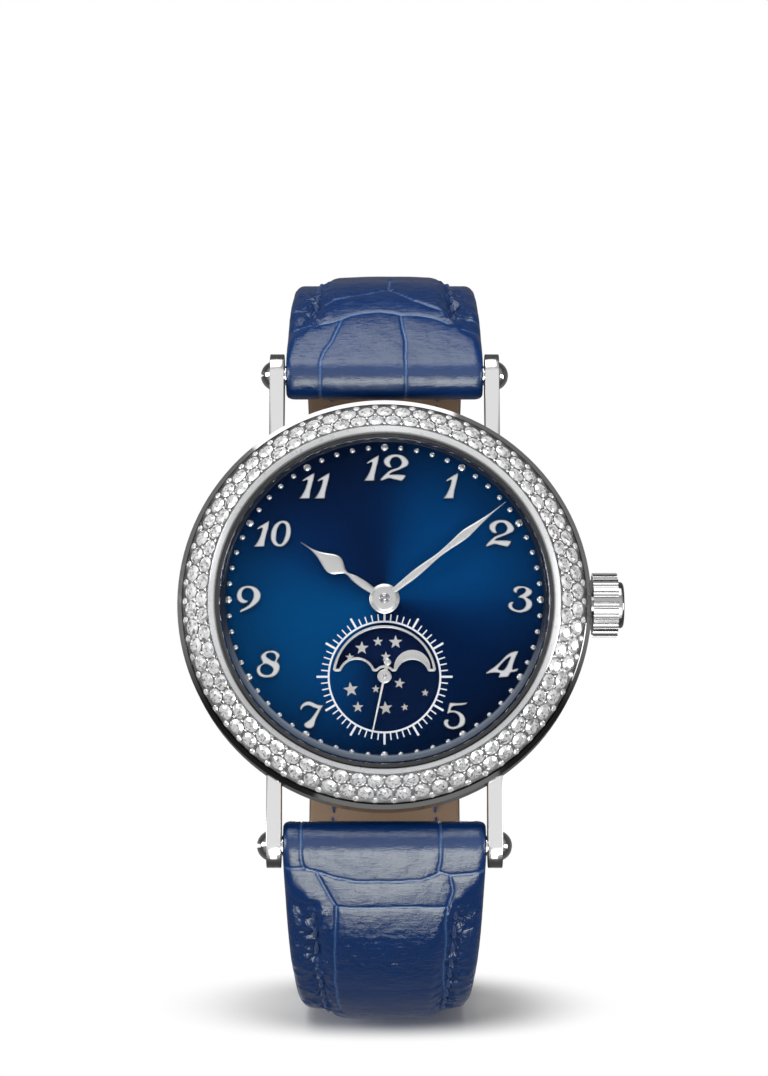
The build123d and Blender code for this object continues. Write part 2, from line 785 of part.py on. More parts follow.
with BuildPart() as hour_numerals:
    for figures, (place_x, place_y) in numeral_shares:
        for figure, aside in figures:
            middle = (
                place_x * dot_circle_radius + aside * numeral_height,
                place_y * dot_circle_radius - numeral_height / 2,
            )
            outline, *holes = figure_shares[figure]
            with BuildSketch(Plane.XY.offset(dial_top)):
                with BuildLine():
                    draw_runs(outline, numeral_height, middle)
                make_face()
                for hole in holes:
                    with BuildLine():
                        draw_runs(hole, numeral_height, middle)
                    make_face(mode=Mode.SUBTRACT)
            extrude(amount=marker_height)
write_piece(hour_numerals, "hour_numerals")

with BuildPart() as minute_dots:
    for minute in range(60):
        radius = minute_dot_radius if minute % 5 else hour_dot_radius
        with Locations((*polar_point(dot_circle_radius, 90 - minute * 6), dial_top)):
            Cone(
                radius,
                radius / 2,
                dot_height,
                align=(Align.CENTER, Align.CENTER, Align.MIN),
            )
write_piece(minute_dots, "minute_dots")

# Strap halves, drawn from the side: local x is Y and local y is Z
strap_radius = math.hypot(bar_axis_y - strap_circle_y, lug_axis_z - strap_circle_z)
strap_start = math.degrees(math.atan2(lug_axis_z - strap_circle_z, bar_axis_y - strap_circle_y))
half_thickness = strap_thickness / 2
lining_face = lining_thickness - half_thickness
padded_face = half_thickness + strap_padding
nose_turn = math.degrees(strap_nose_radius / strap_radius)
strap_bottom_z = strap_circle_z - strap_radius
tail_radius = strap_radius + strap_thickness + tail_gap
tail_z = strap_circle_z - tail_radius
tail_bottom_z = tail_z - half_thickness
upper_centre = (strap_circle_y, strap_circle_z)
lower_centre = (-strap_circle_y, strap_circle_z)
slope_turn = 270 - tail_slope
slope_start = polar_point(strap_radius, slope_turn, lower_centre)
bend_drop = tail_bend_radius * (1 - math.cos(math.radians(tail_slope)))
slope_fall = slope_start[1] - tail_z - bend_drop
slope_end_y = slope_start[0] + slope_fall / math.tan(math.radians(tail_slope))
bend_centre = (
    slope_end_y + tail_bend_radius * math.sin(math.radians(tail_slope)),
    tail_z + tail_bend_radius,
)


def lower_run(face):
    """Long half's path from the end of its circle to the tail's tip, moved out by a face offset."""
    start = polar_point(strap_radius + face, slope_turn, lower_centre)
    bend = polar_point(tail_bend_radius + face, slope_turn, bend_centre)
    Line(start, bend)
    CenterArc(bend_centre, tail_bend_radius + face, slope_turn, tail_slope)
    Line((bend_centre[0], tail_z - face), (strap_circle_y, tail_z - face))
    CenterArc(upper_centre, tail_radius + face, -90, 90 + tail_end_angle)


def tail_tip(face):
    """Point on the tail's cut end."""
    return polar_point(tail_radius + face, tail_end_angle, upper_centre)


def strap_taper_points(waist_z):
    """Half outline of the strap's width against height, widest at the case."""
    half = strap_width / 2
    narrow = strap_buckle_width / 2
    top = lug_axis_z + strap_nose_radius + overrun
    foot = tail_bottom_z - overrun
    right = [(half, top), (half, lug_axis_z), (narrow, waist_z), (narrow, foot)]
    left = [(-x, z) for x, z in reversed(right)]
    return right + left


buckle_bar_z = strap_bottom_z
tongue_slot = tongue_width + 2 * loose_gap
with BuildPart() as strap_twelve:
    with BuildSketch(Plane.YZ):
        with BuildLine():
            outer_start = polar_point(strap_radius + strap_nose_radius, strap_start, upper_centre)
            outer_middle = polar_point(strap_radius + padded_face, 0, upper_centre)
            outer_end = polar_point(strap_radius + half_thickness, tail_end_angle, upper_centre)
            ThreePointArc(outer_start, outer_middle, outer_end)
            CenterArc(upper_centre, strap_radius + half_thickness, -90, 90 + tail_end_angle)
            Line(
                (strap_circle_y, strap_bottom_z - half_thickness),
                (buckle_bar_y, strap_bottom_z - half_thickness),
            )
            Line(
                (buckle_bar_y, strap_bottom_z - half_thickness),
                (buckle_bar_y, strap_bottom_z - lining_face),
            )
            Line(
                (buckle_bar_y, strap_bottom_z - lining_face),
                (strap_circle_y, strap_bottom_z - lining_face),
            )
            CenterArc(upper_centre, strap_radius + lining_face, -90, 90 + strap_start)
            Line(polar_point(strap_radius + lining_face, strap_start, upper_centre), outer_start)
        make_face()
        with Locations((bar_axis_y, lug_axis_z)):
            Circle(strap_nose_radius)
            Circle(bar_radius + fit_gap, mode=Mode.SUBTRACT)
        with Locations((buckle_bar_y, buckle_bar_z)):
            Circle(buckle_nose_radius)
            Circle(buckle_bar_radius + fit_gap, mode=Mode.SUBTRACT)
    extrude(amount=strap_width / 2, both=True)
    with BuildSketch(Plane.XZ):
        with BuildLine():
            Polyline(*strap_taper_points(strap_bottom_z), close=True)
        make_face()
    extrude(amount=2 * lug_reach + overrun, both=True, mode=Mode.INTERSECT)
    with Locations((0, buckle_bar_y - tongue_ring_radius, buckle_bar_z)):
        Box(
            tongue_slot,
            tongue_recess_share * tongue_ring_radius + 2 * loose_gap,
            2 * buckle_nose_radius + overrun,
            mode=Mode.SUBTRACT,
        )
write_piece(strap_twelve, "strap_twelve")

with BuildPart() as strap_twelve_lining:
    lining_start = strap_start - nose_turn - fit_gap
    lining_cut_y = buckle_bar_y + buckle_nose_radius + loose_gap
    with BuildSketch(Plane.YZ):
        with BuildLine():
            CenterArc(upper_centre, strap_radius + lining_face, -90, 90 + lining_start)
            Line(
                polar_point(strap_radius + lining_face, lining_start, upper_centre),
                polar_point(strap_radius - half_thickness, lining_start, upper_centre),
            )
            CenterArc(upper_centre, strap_radius - half_thickness, -90, 90 + lining_start)
            Polyline(
                (strap_circle_y, strap_bottom_z + half_thickness),
                (lining_cut_y, strap_bottom_z + half_thickness),
                (lining_cut_y, strap_bottom_z - lining_face),
                (strap_circle_y, strap_bottom_z - lining_face),
            )
        make_face()
    extrude(amount=strap_width / 2, both=True)
    with BuildSketch(Plane.XZ):
        with BuildLine():
            Polyline(*strap_taper_points(strap_bottom_z), close=True)
        make_face()
    extrude(amount=2 * lug_reach + overrun, both=True, mode=Mode.INTERSECT)
write_piece(strap_twelve_lining, "strap_twelve_lining")

tongue_hole_y = buckle_bar_y - tongue_hole_place_share * tongue_ring_radius
tongue_hole_length = tongue_hole_length_share * tongue_ring_radius
hole_spacing = 6.2
with BuildPart() as strap_six:
    with BuildSketch(Plane.YZ):
        with BuildLine():
            outer_start = polar_point(
                strap_radius + strap_nose_radius, 180 - strap_start, lower_centre
            )
            outer_middle = polar_point(strap_radius + padded_face, 180, lower_centre)
            outer_end = polar_point(strap_radius + half_thickness, slope_turn, lower_centre)
            ThreePointArc(outer_start, outer_middle, outer_end)
            lower_run(half_thickness)
            Line(tail_tip(half_thickness), tail_tip(lining_face))
            lower_run(lining_face)
            CenterArc(
                lower_centre,
                strap_radius + lining_face,
                180 - strap_start,
                slope_turn - 180 + strap_start,
            )
            Line(
                polar_point(strap_radius + lining_face, 180 - strap_start, lower_centre),
                outer_start,
            )
        make_face()
        with Locations((-bar_axis_y, lug_axis_z)):
            Circle(strap_nose_radius)
            Circle(bar_radius + fit_gap, mode=Mode.SUBTRACT)
    extrude(amount=strap_width / 2, both=True)
    with BuildSketch(Plane.XZ):
        with BuildLine():
            Polyline(*strap_taper_points(strap_circle_z), close=True)
        make_face()
    extrude(amount=2 * lug_reach + overrun, both=True, mode=Mode.INTERSECT)
    with Locations((0, tongue_hole_y, tail_z)):
        Box(tongue_slot, tongue_hole_length, 2 * strap_thickness, mode=Mode.SUBTRACT)
    for number in (1, 2):
        with Locations((0, tongue_hole_y + number * hole_spacing, tail_z)):
            Cylinder(tongue_slot / 2, 2 * strap_thickness, mode=Mode.SUBTRACT)
write_piece(strap_six, "strap_six")

with BuildPart() as strap_six_lining:
    with BuildSketch(Plane.YZ):
        with BuildLine():
            lining_end = 180 - lining_start
            lower_run(lining_face)
            Line(tail_tip(lining_face), tail_tip(-half_thickness))
            lower_run(-half_thickness)
            CenterArc(
                lower_centre, strap_radius - half_thickness, lining_end, slope_turn - lining_end
            )
            Line(
                polar_point(strap_radius - half_thickness, lining_end, lower_centre),
                polar_point(strap_radius + lining_face, lining_end, lower_centre),
            )
            CenterArc(lower_centre, strap_radius + lining_face, lining_end, slope_turn - lining_end)
        make_face()
    extrude(amount=strap_width / 2, both=True)
    with BuildSketch(Plane.XZ):
        with BuildLine():
            Polyline(*strap_taper_points(strap_circle_z), close=True)
        make_face()
    extrude(amount=2 * lug_reach + overrun, both=True, mode=Mode.INTERSECT)
    with Locations((0, tongue_hole_y, tail_z)):
        Box(tongue_slot, tongue_hole_length, 2 * strap_thickness, mode=Mode.SUBTRACT)
    for number in (1, 2):
        with Locations((0, tongue_hole_y + number * hole_spacing, tail_z)):
            Cylinder(tongue_slot / 2, 2 * strap_thickness, mode=Mode.SUBTRACT)
write_piece(strap_six_lining, "strap_six_lining")

# Keepers: bands of leather round both halves
keeper_inner_half = strap_buckle_width / 2 + keeper_side_gap
keeper_top_z = strap_bottom_z + half_thickness + keeper_side_gap
keeper_foot_z = tail_bottom_z - keeper_side_gap
base_z = keeper_foot_z - keeper_thickness
keeper_middle_z = (keeper_top_z + keeper_foot_z) / 2
keeper_opening = keeper_top_z - keeper_foot_z
with BuildPart() as fixed_keeper:
    with BuildSketch(Plane.XZ.offset(-fixed_keeper_y)):
        with Locations((0, keeper_middle_z)):
            RectangleRounded(
                2 * (keeper_inner_half + keeper_thickness),
                keeper_opening + 2 * keeper_thickness,
                keeper_thickness,
            )
            Rectangle(2 * keeper_inner_half, keeper_opening, mode=Mode.SUBTRACT)
    extrude(amount=keeper_width / 2, both=True)
write_piece(fixed_keeper, "fixed_keeper")

with BuildPart() as free_keeper:
    with BuildSketch(Plane.XZ.offset(-free_keeper_y)):
        with Locations((0, keeper_middle_z)):
            RectangleRounded(
                2 * (keeper_inner_half + keeper_thickness),
                keeper_opening + 2 * keeper_thickness,
                keeper_thickness,
            )
            Rectangle(2 * keeper_inner_half, keeper_opening, mode=Mode.SUBTRACT)
    extrude(amount=keeper_width / 2, both=True)
write_piece(free_keeper, "free_keeper")

# Pin buckle: bar through the short half's fold, frame on the bar, tongue between
arm_inner_x = strap_buckle_width / 2 + buckle_side_gap
arm_outer_x = arm_inner_x + buckle_arm_width
buckle_front_z = base_z + buckle_front_radius
with BuildPart() as buckle_bar:
    with BuildSketch(Plane.YZ):
        with Locations((buckle_bar_y, buckle_bar_z)):
            Circle(buckle_bar_radius)
    extrude(amount=arm_outer_x, both=True)
write_piece(buckle_bar, "buckle_bar")

tongue_run_z = tail_bottom_z - loose_gap - tongue_thickness / 2
with BuildPart() as buckle_frame:
    for side in (1, -1):
        with BuildSketch(Plane.YZ.offset(side * (arm_inner_x + buckle_arm_width / 2))):
            with Locations((buckle_bar_y, buckle_bar_z)):
                Circle(buckle_arm_radius)
            with Locations((buckle_front_y, buckle_front_z)):
                Circle(buckle_front_radius)
            make_hull()
            with Locations((buckle_bar_y, buckle_bar_z)):
                Circle(buckle_bar_radius + fit_gap, mode=Mode.SUBTRACT)
        extrude(amount=buckle_arm_width / 2, both=True)
    with BuildSketch(Plane.YZ):
        with Locations((buckle_front_y, buckle_front_z)):
            Circle(buckle_front_radius)
    extrude(amount=arm_inner_x + buckle_arm_width / 2, both=True)
    with Locations((0, buckle_front_y, tongue_run_z - buckle_front_radius)):
        Box(
            tongue_slot,
            2 * buckle_front_radius + overrun,
            2 * buckle_front_radius + tongue_thickness + 2 * loose_gap,
            mode=Mode.SUBTRACT,
        )
write_piece(buckle_frame, "buckle_frame")

knee_y = buckle_bar_y - tongue_knee_share * tongue_ring_radius
elbow_y = buckle_bar_y - tongue_elbow_share * tongue_ring_radius
with BuildPart() as buckle_tongue:
    with BuildSketch(Plane.YZ):
        with BuildLine():
            FilletPolyline(
                (buckle_bar_y, buckle_bar_z),
                (knee_y, buckle_bar_z - tongue_ring_radius),
                (elbow_y, tongue_run_z),
                (buckle_front_y - buckle_front_radius, tongue_run_z),
                radius=tongue_thickness,
            )
        trace(line_width=tongue_thickness)
        with Locations((buckle_bar_y, buckle_bar_z)):
            Circle(tongue_ring_radius)
            Circle(buckle_bar_radius + fit_gap, mode=Mode.SUBTRACT)
    extrude(amount=tongue_width / 2, both=True)
write_piece(buckle_tongue, "buckle_tongue")

# Crown with its tube, gasket and stem, on the +X side
with BuildPart() as crown_tube:
    with BuildSketch(Plane.YZ.offset(crown_tube_start)):
        with Locations((0, stem_z)):
            Circle(crown_tube_radius - fit_gap / 2)
            Circle(stem_radius + fit_gap, mode=Mode.SUBTRACT)
    extrude(amount=crown_tube_end - crown_tube_start)
write_piece(crown_tube, "crown_tube")

crown_hub_start = crown_start + crown_skirt_depth
crown_body_end = crown_start + crown_length
with BuildPart() as crown:
    with BuildSketch(Plane.YZ.offset(crown_start)):
        with Locations((0, stem_z)):
            Circle(crown_radius)
            with PolarLocations(crown_radius, crown_flutes):
                Circle(crown_flute_radius, mode=Mode.SUBTRACT)
    extrude(amount=crown_length)
    with BuildSketch(Plane.YZ.offset(crown_body_end)):
        with Locations((0, stem_z)):
            Circle(crown_cap_radius)
    extrude(amount=crown_cap_height)
    fillet(crown.edges().group_by(Axis.X)[-1], crown_cap_height / 2)
    with BuildSketch(Plane.YZ.offset(crown_start)):
        with Locations((0, stem_z)):
            Circle(crown_skirt_radius)
    extrude(amount=crown_skirt_depth, mode=Mode.SUBTRACT)
    with BuildSketch(Plane.YZ.offset(crown_gasket_start)):
        with Locations((0, stem_z)):
            Circle(crown_gasket_radius)
    extrude(amount=crown_gasket_width, mode=Mode.SUBTRACT)
    with BuildSketch(Plane.YZ.offset(crown_hub_start)):
        with Locations((0, stem_z)):
            Circle(stem_radius + fit_gap / 2)
    extrude(amount=stem_outer_end - crown_hub_start + fit_gap, mode=Mode.SUBTRACT)
write_piece(crown, "crown")

with BuildPart() as crown_gasket:
    with BuildSketch(Plane.YZ.offset(crown_gasket_start)):
        with Locations((0, stem_z)):
            Circle(crown_gasket_radius)
            Circle(crown_tube_radius + fit_gap / 2, mode=Mode.SUBTRACT)
    extrude(amount=crown_gasket_width)
write_piece(crown_gasket, "crown_gasket")

with BuildPart() as stem:
    with BuildSketch(Plane.YZ.offset(stem_inner_end)):
        with Locations((0, stem_z)):
            Circle(stem_radius)
    extrude(amount=stem_outer_end - stem_inner_end)
write_piece(stem, "stem")

corrector_outer = case_radius - corrector_recess
with BuildPart() as corrector_button:
    with BuildSketch(corrector_plane.offset(corrector_outer - corrector_length)):
        Circle(corrector_radius)
    extrude(amount=corrector_length)
write_piece(corrector_button, "corrector_button")

# Hands: half widths along the length, in shares of the hand's length
hour_hand_shares = (
    (0.12, 0.034), (0.25, 0.04), (0.37, 0.03), (0.465, 0.016), (0.52, 0.05), (0.56, 0.084),
    (0.595, 0.098), (0.64, 0.085), (0.7, 0.045), (0.8, 0.015), (1.0, 0.004),
)
minute_hand_shares = (
    (0.07, 0.018), (0.16, 0.021), (0.25, 0.0245), (0.35, 0.02), (0.44, 0.0145), (0.55, 0.02),
    (0.67, 0.0285), (0.76, 0.018), (0.87, 0.0065), (1.0, 0.002),
)


def hand_blade(shares, length):
    """Closed outline of a hand that points along +Y, the same on both sides."""
    right = [(half * length, along * length) for along, half in shares]
    left = [(-x, y) for x, y in reversed(right)]
    Spline(*right)
    Line(right[-1], left[0])
    Spline(*left)
    Line(left[-1], right[0])


centre_arbor_radius = 0.25
cannon_pipe_radius = 0.42
hour_pipe_inner = cannon_pipe_radius + fit_gap
hour_pipe_outer = dial_hole_radius - 3 * fit_gap
hour_hand_top = hour_hand_bottom + hour_hand_thickness
minute_hand_top = minute_hand_bottom + minute_hand_thickness
with BuildPart() as hour_hand:
    with BuildSketch(Plane.XY.offset(hour_hand_bottom).rotated((0, 0, -hour_hand_angle))):
        with BuildLine():
            hand_blade(hour_hand_shares, hour_hand_length)
        make_face()
        Circle(hour_boss_radius)
        Circle(hour_pipe_outer, mode=Mode.SUBTRACT)
    extrude(amount=hour_hand_thickness)
write_piece(hour_hand, "hour_hand")

with BuildPart() as minute_hand:
    with BuildSketch(Plane.XY.offset(minute_hand_bottom).rotated((0, 0, -minute_hand_angle))):
        with BuildLine():
            hand_blade(minute_hand_shares, minute_hand_length)
        make_face()
        Circle(minute_boss_radius)
        Circle(cannon_pipe_radius, mode=Mode.SUBTRACT)
    extrude(amount=minute_hand_thickness)
write_piece(minute_hand, "minute_hand")

seconds_arbor_radius = 0.13
seconds_place = (0, moon_centre_y)
seconds_plane = Plane((*seconds_place, seconds_hand_bottom)).rotated((0, 0, -seconds_hand_angle))
with BuildPart() as seconds_hand:
    with BuildSketch(seconds_plane):
        with BuildLine():
            needle = seconds_needle_width / 2
            Polyline(
                (-needle, -seconds_tail_length),
                (needle, -seconds_tail_length),
                (needle * 2 / 3, seconds_hand_length),
                (-needle * 2 / 3, seconds_hand_length),
                close=True,
            )
        make_face()
        Circle(seconds_boss_radius)
        with Locations((0, -seconds_tail_length)):
            Circle(seconds_tail_radius)
        Circle(seconds_arbor_radius, mode=Mode.SUBTRACT)
    extrude(amount=seconds_hand_thickness)
write_piece(seconds_hand, "seconds_hand")

# Movement layout: places of the arbors in plan, teeth, and the levels of the wheels
barrel_distance_share = 0.5128
barrel_distance = barrel_distance_share * movement_radius
barrel_angle = 50.0
third_distance_share = 0.453
third_distance = third_distance_share * movement_radius
third_angle = 222.7
escape_distance_share = 0.2778
escape_distance = escape_distance_share * movement_radius
escape_angle = -60.0
balance_distance_share = 0.7026
balance_distance = balance_distance_share * movement_radius
balance_angle = -36.6
crown_wheel_distance_share = 0.6068
crown_wheel_distance = crown_wheel_distance_share * movement_radius
minute_wheel_distance_share = 0.188
minute_wheel_distance = minute_wheel_distance_share * movement_radius
minute_wheel_angle = 60.0
centre_place = (0, 0)
barrel_place = polar_point(barrel_distance, barrel_angle)
third_place = polar_point(third_distance, third_angle)
escape_place = polar_point(escape_distance, escape_angle, seconds_place)
balance_place = polar_point(balance_distance, balance_angle)
crown_wheel_place = (crown_wheel_distance, 0)
minute_wheel_place = polar_point(minute_wheel_distance, minute_wheel_angle)

barrel_teeth = 84
centre_leaves = 12
centre_teeth = 80
third_leaves = 10
third_teeth = 75
fourth_leaves = 10
fourth_teeth = 84
escape_leaves = 7
escape_teeth = 15
cannon_teeth = 10
minute_wheel_teeth = 30
minute_pinion_leaves = 10
hour_wheel_teeth = 40
ratchet_teeth = 51
crown_wheel_teeth = 33
winding_teeth = 14

wheel_thickness = 0.15
pivot_radius = 0.1
arbor_radius = 0.2
pivot_length = 0.45
centre_wheel_bottom = 2.05
barrel_bottom = 2.35
barrel_top = 3.24
barrel_wall = 0.45
pinion_top = 3.24
third_wheel_bottom = 2.5
fourth_wheel_bottom = 3.0
escape_wheel_bottom = 2.6
escape_radius_share = 0.1709
escape_wheel_radius = escape_radius_share * movement_radius
escape_tooth_depth = 0.5
ratchet_top = 1.28
ratchet_bottom = 1.05
barrel_arbor_radius = 0.6
balance_bottom = 2.1
balance_rim_height = 0.3
balance_radius_share = 0.2692
balance_radius = balance_radius_share * movement_radius
balance_rim_width = 0.35
hairspring_bottom = 1.95
hairspring_height = 0.1
hairspring_turns = 5
mainspring_turns = 6
spring_band = 0.08
pallet_gap = 0.25


def separation(first, second):
    """Distance between two places in plan."""
    return math.hypot(second[0] - first[0], second[1] - first[1])


def bearing(first, second):
    """Direction in degrees from one place to another."""
    return math.degrees(math.atan2(second[1] - first[1], second[0] - first[0]))


def mesh_module(first, second, teeth_sum):
    """Module of a pair of wheels that runs at this distance between its arbors."""
    return 2 * separation(first, second) / teeth_sum


def gap_phase(first, second, teeth):
    """Phase that puts a gap of the second wheel opposite a tooth of the first."""
    return bearing(second, first) + 180 / teeth


def arbor(radius, low, high, at):
    """Upright arbor with a thin pivot at each end."""
    round_bar(pivot_radius, low - pivot_length, high + pivot_length, at)
    round_bar(radius, low, high, at)


barrel_module = mesh_module(centre_place, barrel_place, barrel_teeth + centre_leaves)
centre_module = mesh_module(centre_place, third_place, centre_teeth + third_leaves)
third_module = mesh_module(third_place, seconds_place, third_teeth + fourth_leaves)
fourth_module = mesh_module(seconds_place, escape_place, fourth_teeth + escape_leaves)
minutes_module = mesh_module(centre_place, minute_wheel_place, cannon_teeth + minute_wheel_teeth)
hours_module = mesh_module(
    centre_place, minute_wheel_place, minute_pinion_leaves + hour_wheel_teeth
)
winding_module = mesh_module(crown_wheel_place, barrel_place, ratchet_teeth + crown_wheel_teeth)

# Motion works between the mainplate and the dial
works_low = mainplate_top + fit_gap
works_wheel_top = works_low + wheel_thickness
hour_wheel_low = works_wheel_top + 2 * fit_gap + wheel_thickness / 3
cannon_toward = bearing(centre_place, minute_wheel_place)

with BuildPart() as centre_wheel:
    centre_wheel_top = centre_wheel_bottom + wheel_thickness
    centre_wheel_radius = centre_module * centre_teeth / 2
    gear_plate(
        centre_teeth,
        centre_module,
        bearing(centre_place, third_place),
        centre_wheel_bottom,
        centre_wheel_top,
        centre_place,
    )
    spoked_cut(
        centre_wheel_radius / 5,
        centre_wheel_radius * 7 / 8,
        5,
        centre_wheel_radius / 12,
        centre_wheel_bottom,
        centre_wheel_top,
        centre_place,
    )
    gear_plate(
        centre_leaves,
        barrel_module,
        gap_phase(barrel_place, centre_place, centre_leaves),
        barrel_top - 2 * wheel_thickness,
        pinion_top,
        centre_place,
    )
    round_bar(pivot_radius, centre_wheel_bottom - pivot_length, pinion_top)
    round_bar(centre_arbor_radius, centre_wheel_bottom, minute_hand_top + wheel_thickness)
write_piece(centre_wheel, "centre_wheel")

with BuildPart() as cannon_pinion:
    gear_plate(
        cannon_teeth, minutes_module, cannon_toward, works_low, works_wheel_top + fit_gap, centre_place
    )
    round_bar(cannon_pipe_radius, works_low, minute_hand_top)
    round_bar(centre_arbor_radius + fit_gap / 2, works_low, minute_hand_top, mode=Mode.SUBTRACT)
write_piece(cannon_pinion, "cannon_pinion")

with BuildPart() as minute_wheel:
    gear_plate(
        minute_wheel_teeth,
        minutes_module,
        gap_phase(centre_place, minute_wheel_place, minute_wheel_teeth),
        works_low,
        works_wheel_top,
        minute_wheel_place,
    )
    gear_plate(
        minute_pinion_leaves,
        hours_module,
        bearing(minute_wheel_place, centre_place),
        works_wheel_top,
        hour_wheel_low + wheel_thickness,
        minute_wheel_place,
    )
    round_bar(
        arbor_radius, works_low, hour_wheel_low + wheel_thickness, minute_wheel_place, Mode.SUBTRACT
    )
write_piece(minute_wheel, "minute_wheel")

with BuildPart() as hour_wheel:
    gear_plate(
        hour_wheel_teeth,
        hours_module,
        gap_phase(minute_wheel_place, centre_place, hour_wheel_teeth),
        hour_wheel_low,
        hour_wheel_low + wheel_thickness,
        centre_place,
    )
    round_bar(hour_pipe_outer, hour_wheel_low, hour_hand_top)
    round_bar(hour_pipe_inner, hour_wheel_low, hour_hand_top, mode=Mode.SUBTRACT)
write_piece(hour_wheel, "hour_wheel")

# Moon disc: two moons and their stars lie on it, opposite each other
moon_disc_top = moon_disc_bottom + moon_disc_thickness
moon_module = 2 * moon_disc_radius / moon_disc_teeth
with BuildPart() as moon_disc:
    gear_plate(
        moon_disc_teeth,
        moon_module,
        0,
        moon_disc_bottom,
        moon_disc_top,
        seconds_place,
    )
    round_bar(moon_bush_radius + fit_gap, moon_disc_bottom, moon_disc_top, seconds_place, Mode.SUBTRACT)
write_piece(moon_disc, "moon_disc")

# Stars on the moon disc: place and outer radius in shares of the moon window's radius
disc_star_shares = (
    (-0.46, 0.605, 0.143),
    (-0.133, 0.738, 0.105),
    (0.226, 0.726, 0.143),
    (0.028, 0.431, 0.105),
    (-0.705, 0.418, 0.09),
)
star_inner_share = 0.42


def star_points(radius, points, at):
    """Five-pointed outline with a point upwards."""
    outline = []
    for number in range(2 * points):
        reach = radius * star_inner_share if number % 2 else radius
        outline.append(polar_point(reach, 90 + number * 180 / points, at))
    return outline


with BuildPart() as moons_and_stars:
    for half_turn in (0, 180):
        place = polar_point(moon_orbit_radius, moon_angle + half_turn, seconds_place)
        round_bar(moon_radius, moon_disc_top, moon_disc_top + moon_relief, place)
        for along, up, size in disc_star_shares:
            reach = math.hypot(along, up) * moon_window_radius
            turn = math.degrees(math.atan2(up, along)) + half_turn
            middle = polar_point(reach, turn, seconds_place)
            with BuildSketch(Plane.XY.offset(moon_disc_top)):
                with BuildLine():
                    Polyline(*star_points(size * moon_window_radius, star_tips, middle), close=True)
                make_face()
            extrude(amount=moon_relief)
write_piece(moons_and_stars, "moons_and_stars")

# Going train
with BuildPart() as third_wheel:
    gear_plate(
        third_teeth,
        third_module,
        bearing(third_place, seconds_place),
        third_wheel_bottom,
        third_wheel_bottom + wheel_thickness,
        third_place,
    )
    third_radius = third_module * third_teeth / 2
    spoked_cut(
        third_radius / 5,
        third_radius * 7 / 8,
        5,
        third_radius / 12,
        third_wheel_bottom,
        third_wheel_bottom + wheel_thickness,
        third_place,
    )
    gear_plate(
        third_leaves,
        centre_module,
        gap_phase(centre_place, third_place, third_leaves),
        centre_wheel_bottom,
        third_wheel_bottom,
        third_place,
    )
    arbor(arbor_radius, centre_wheel_bottom, pinion_top, third_place)
write_piece(third_wheel, "third_wheel")

with BuildPart() as fourth_wheel:
    gear_plate(
        fourth_teeth,
        fourth_module,
        bearing(seconds_place, escape_place),
        fourth_wheel_bottom,
        fourth_wheel_bottom + wheel_thickness,
        seconds_place,
    )
    fourth_radius = fourth_module * fourth_teeth / 2
    spoked_cut(
        fourth_radius / 5,
        fourth_radius * 7 / 8,
        5,
        fourth_radius / 12,
        fourth_wheel_bottom,
        fourth_wheel_bottom + wheel_thickness,
        seconds_place,
    )
    gear_plate(
        fourth_leaves,
        third_module,
        gap_phase(third_place, seconds_place, fourth_leaves),
        third_wheel_bottom - fit_gap,
        fourth_wheel_bottom,
        seconds_place,
    )
    round_bar(pivot_radius, centre_wheel_bottom - pivot_length, centre_wheel_bottom, seconds_place)
    round_bar(arbor_radius, centre_wheel_bottom, third_wheel_bottom, seconds_place)
    seconds_hand_top = seconds_hand_bottom + seconds_hand_thickness
    round_bar(seconds_arbor_radius, fourth_wheel_bottom, seconds_hand_top, seconds_place)
write_piece(fourth_wheel, "fourth_wheel")

with BuildPart() as escape_wheel:
    escape_outline = []
    escape_root = escape_wheel_radius - escape_tooth_depth
    for tooth in range(escape_teeth):
        pitch = 360 / escape_teeth
        escape_outline.append(polar_point(escape_root, tooth * pitch, escape_place))
        escape_outline.append(polar_point(escape_wheel_radius, (tooth + 1 / 4) * pitch, escape_place))
        escape_outline.append(polar_point(escape_wheel_radius, (tooth + 1 / 3) * pitch, escape_place))
        escape_outline.append(polar_point(escape_root, (tooth + 1 / 3) * pitch, escape_place))
    with BuildSketch(Plane.XY.offset(escape_wheel_bottom)):
        with BuildLine():
            Polyline(*escape_outline, close=True)
        make_face()
    extrude(amount=wheel_thickness)
    gear_plate(
        escape_leaves,
        fourth_module,
        gap_phase(seconds_place, escape_place, escape_leaves),
        escape_wheel_bottom + wheel_thickness,
        pinion_top,
        escape_place,
    )
    arbor(pivot_radius * 3 / 2, bridge_bottom + fit_gap, pinion_top, escape_place)
write_piece(escape_wheel, "escape_wheel")

# Pallet fork between the escape wheel and the balance
fork_reach_share = 1.35
fork_reach = fork_reach_share * escape_wheel_radius
fork_place = polar_point(fork_reach, bearing(escape_place, balance_place), escape_place)
fork_plane = Plane((*fork_place, escape_wheel_bottom)).rotated(
    (0, 0, bearing(escape_place, balance_place))
)
fork_width = 0.3
roller_radius = 0.5
fork_length = separation(fork_place, balance_place) - roller_radius - loose_gap
pallet_angle = 40.0
pallet_tip = polar_point(escape_wheel_radius + pallet_gap, pallet_angle)
pallet_heel_x = pallet_tip[0] - fork_reach
with BuildPart() as pallet_fork:
    with BuildSketch(fork_plane):
        with BuildLine():
            Polyline((pallet_heel_x / 2, 0), (0, 0), (fork_length, 0))
        trace(line_width=fork_width)
        for side in (1, -1):
            with BuildLine():
                Polyline((0, 0), (0, side * pallet_tip[1]), (pallet_heel_x, side * pallet_tip[1]))
            trace(line_width=fork_width)
        Circle(fork_width)
    extrude(amount=wheel_thickness)
    arbor(pivot_radius * 3 / 2, bridge_bottom + fit_gap, pinion_top, fork_place)
write_piece(pallet_fork, "pallet_fork")

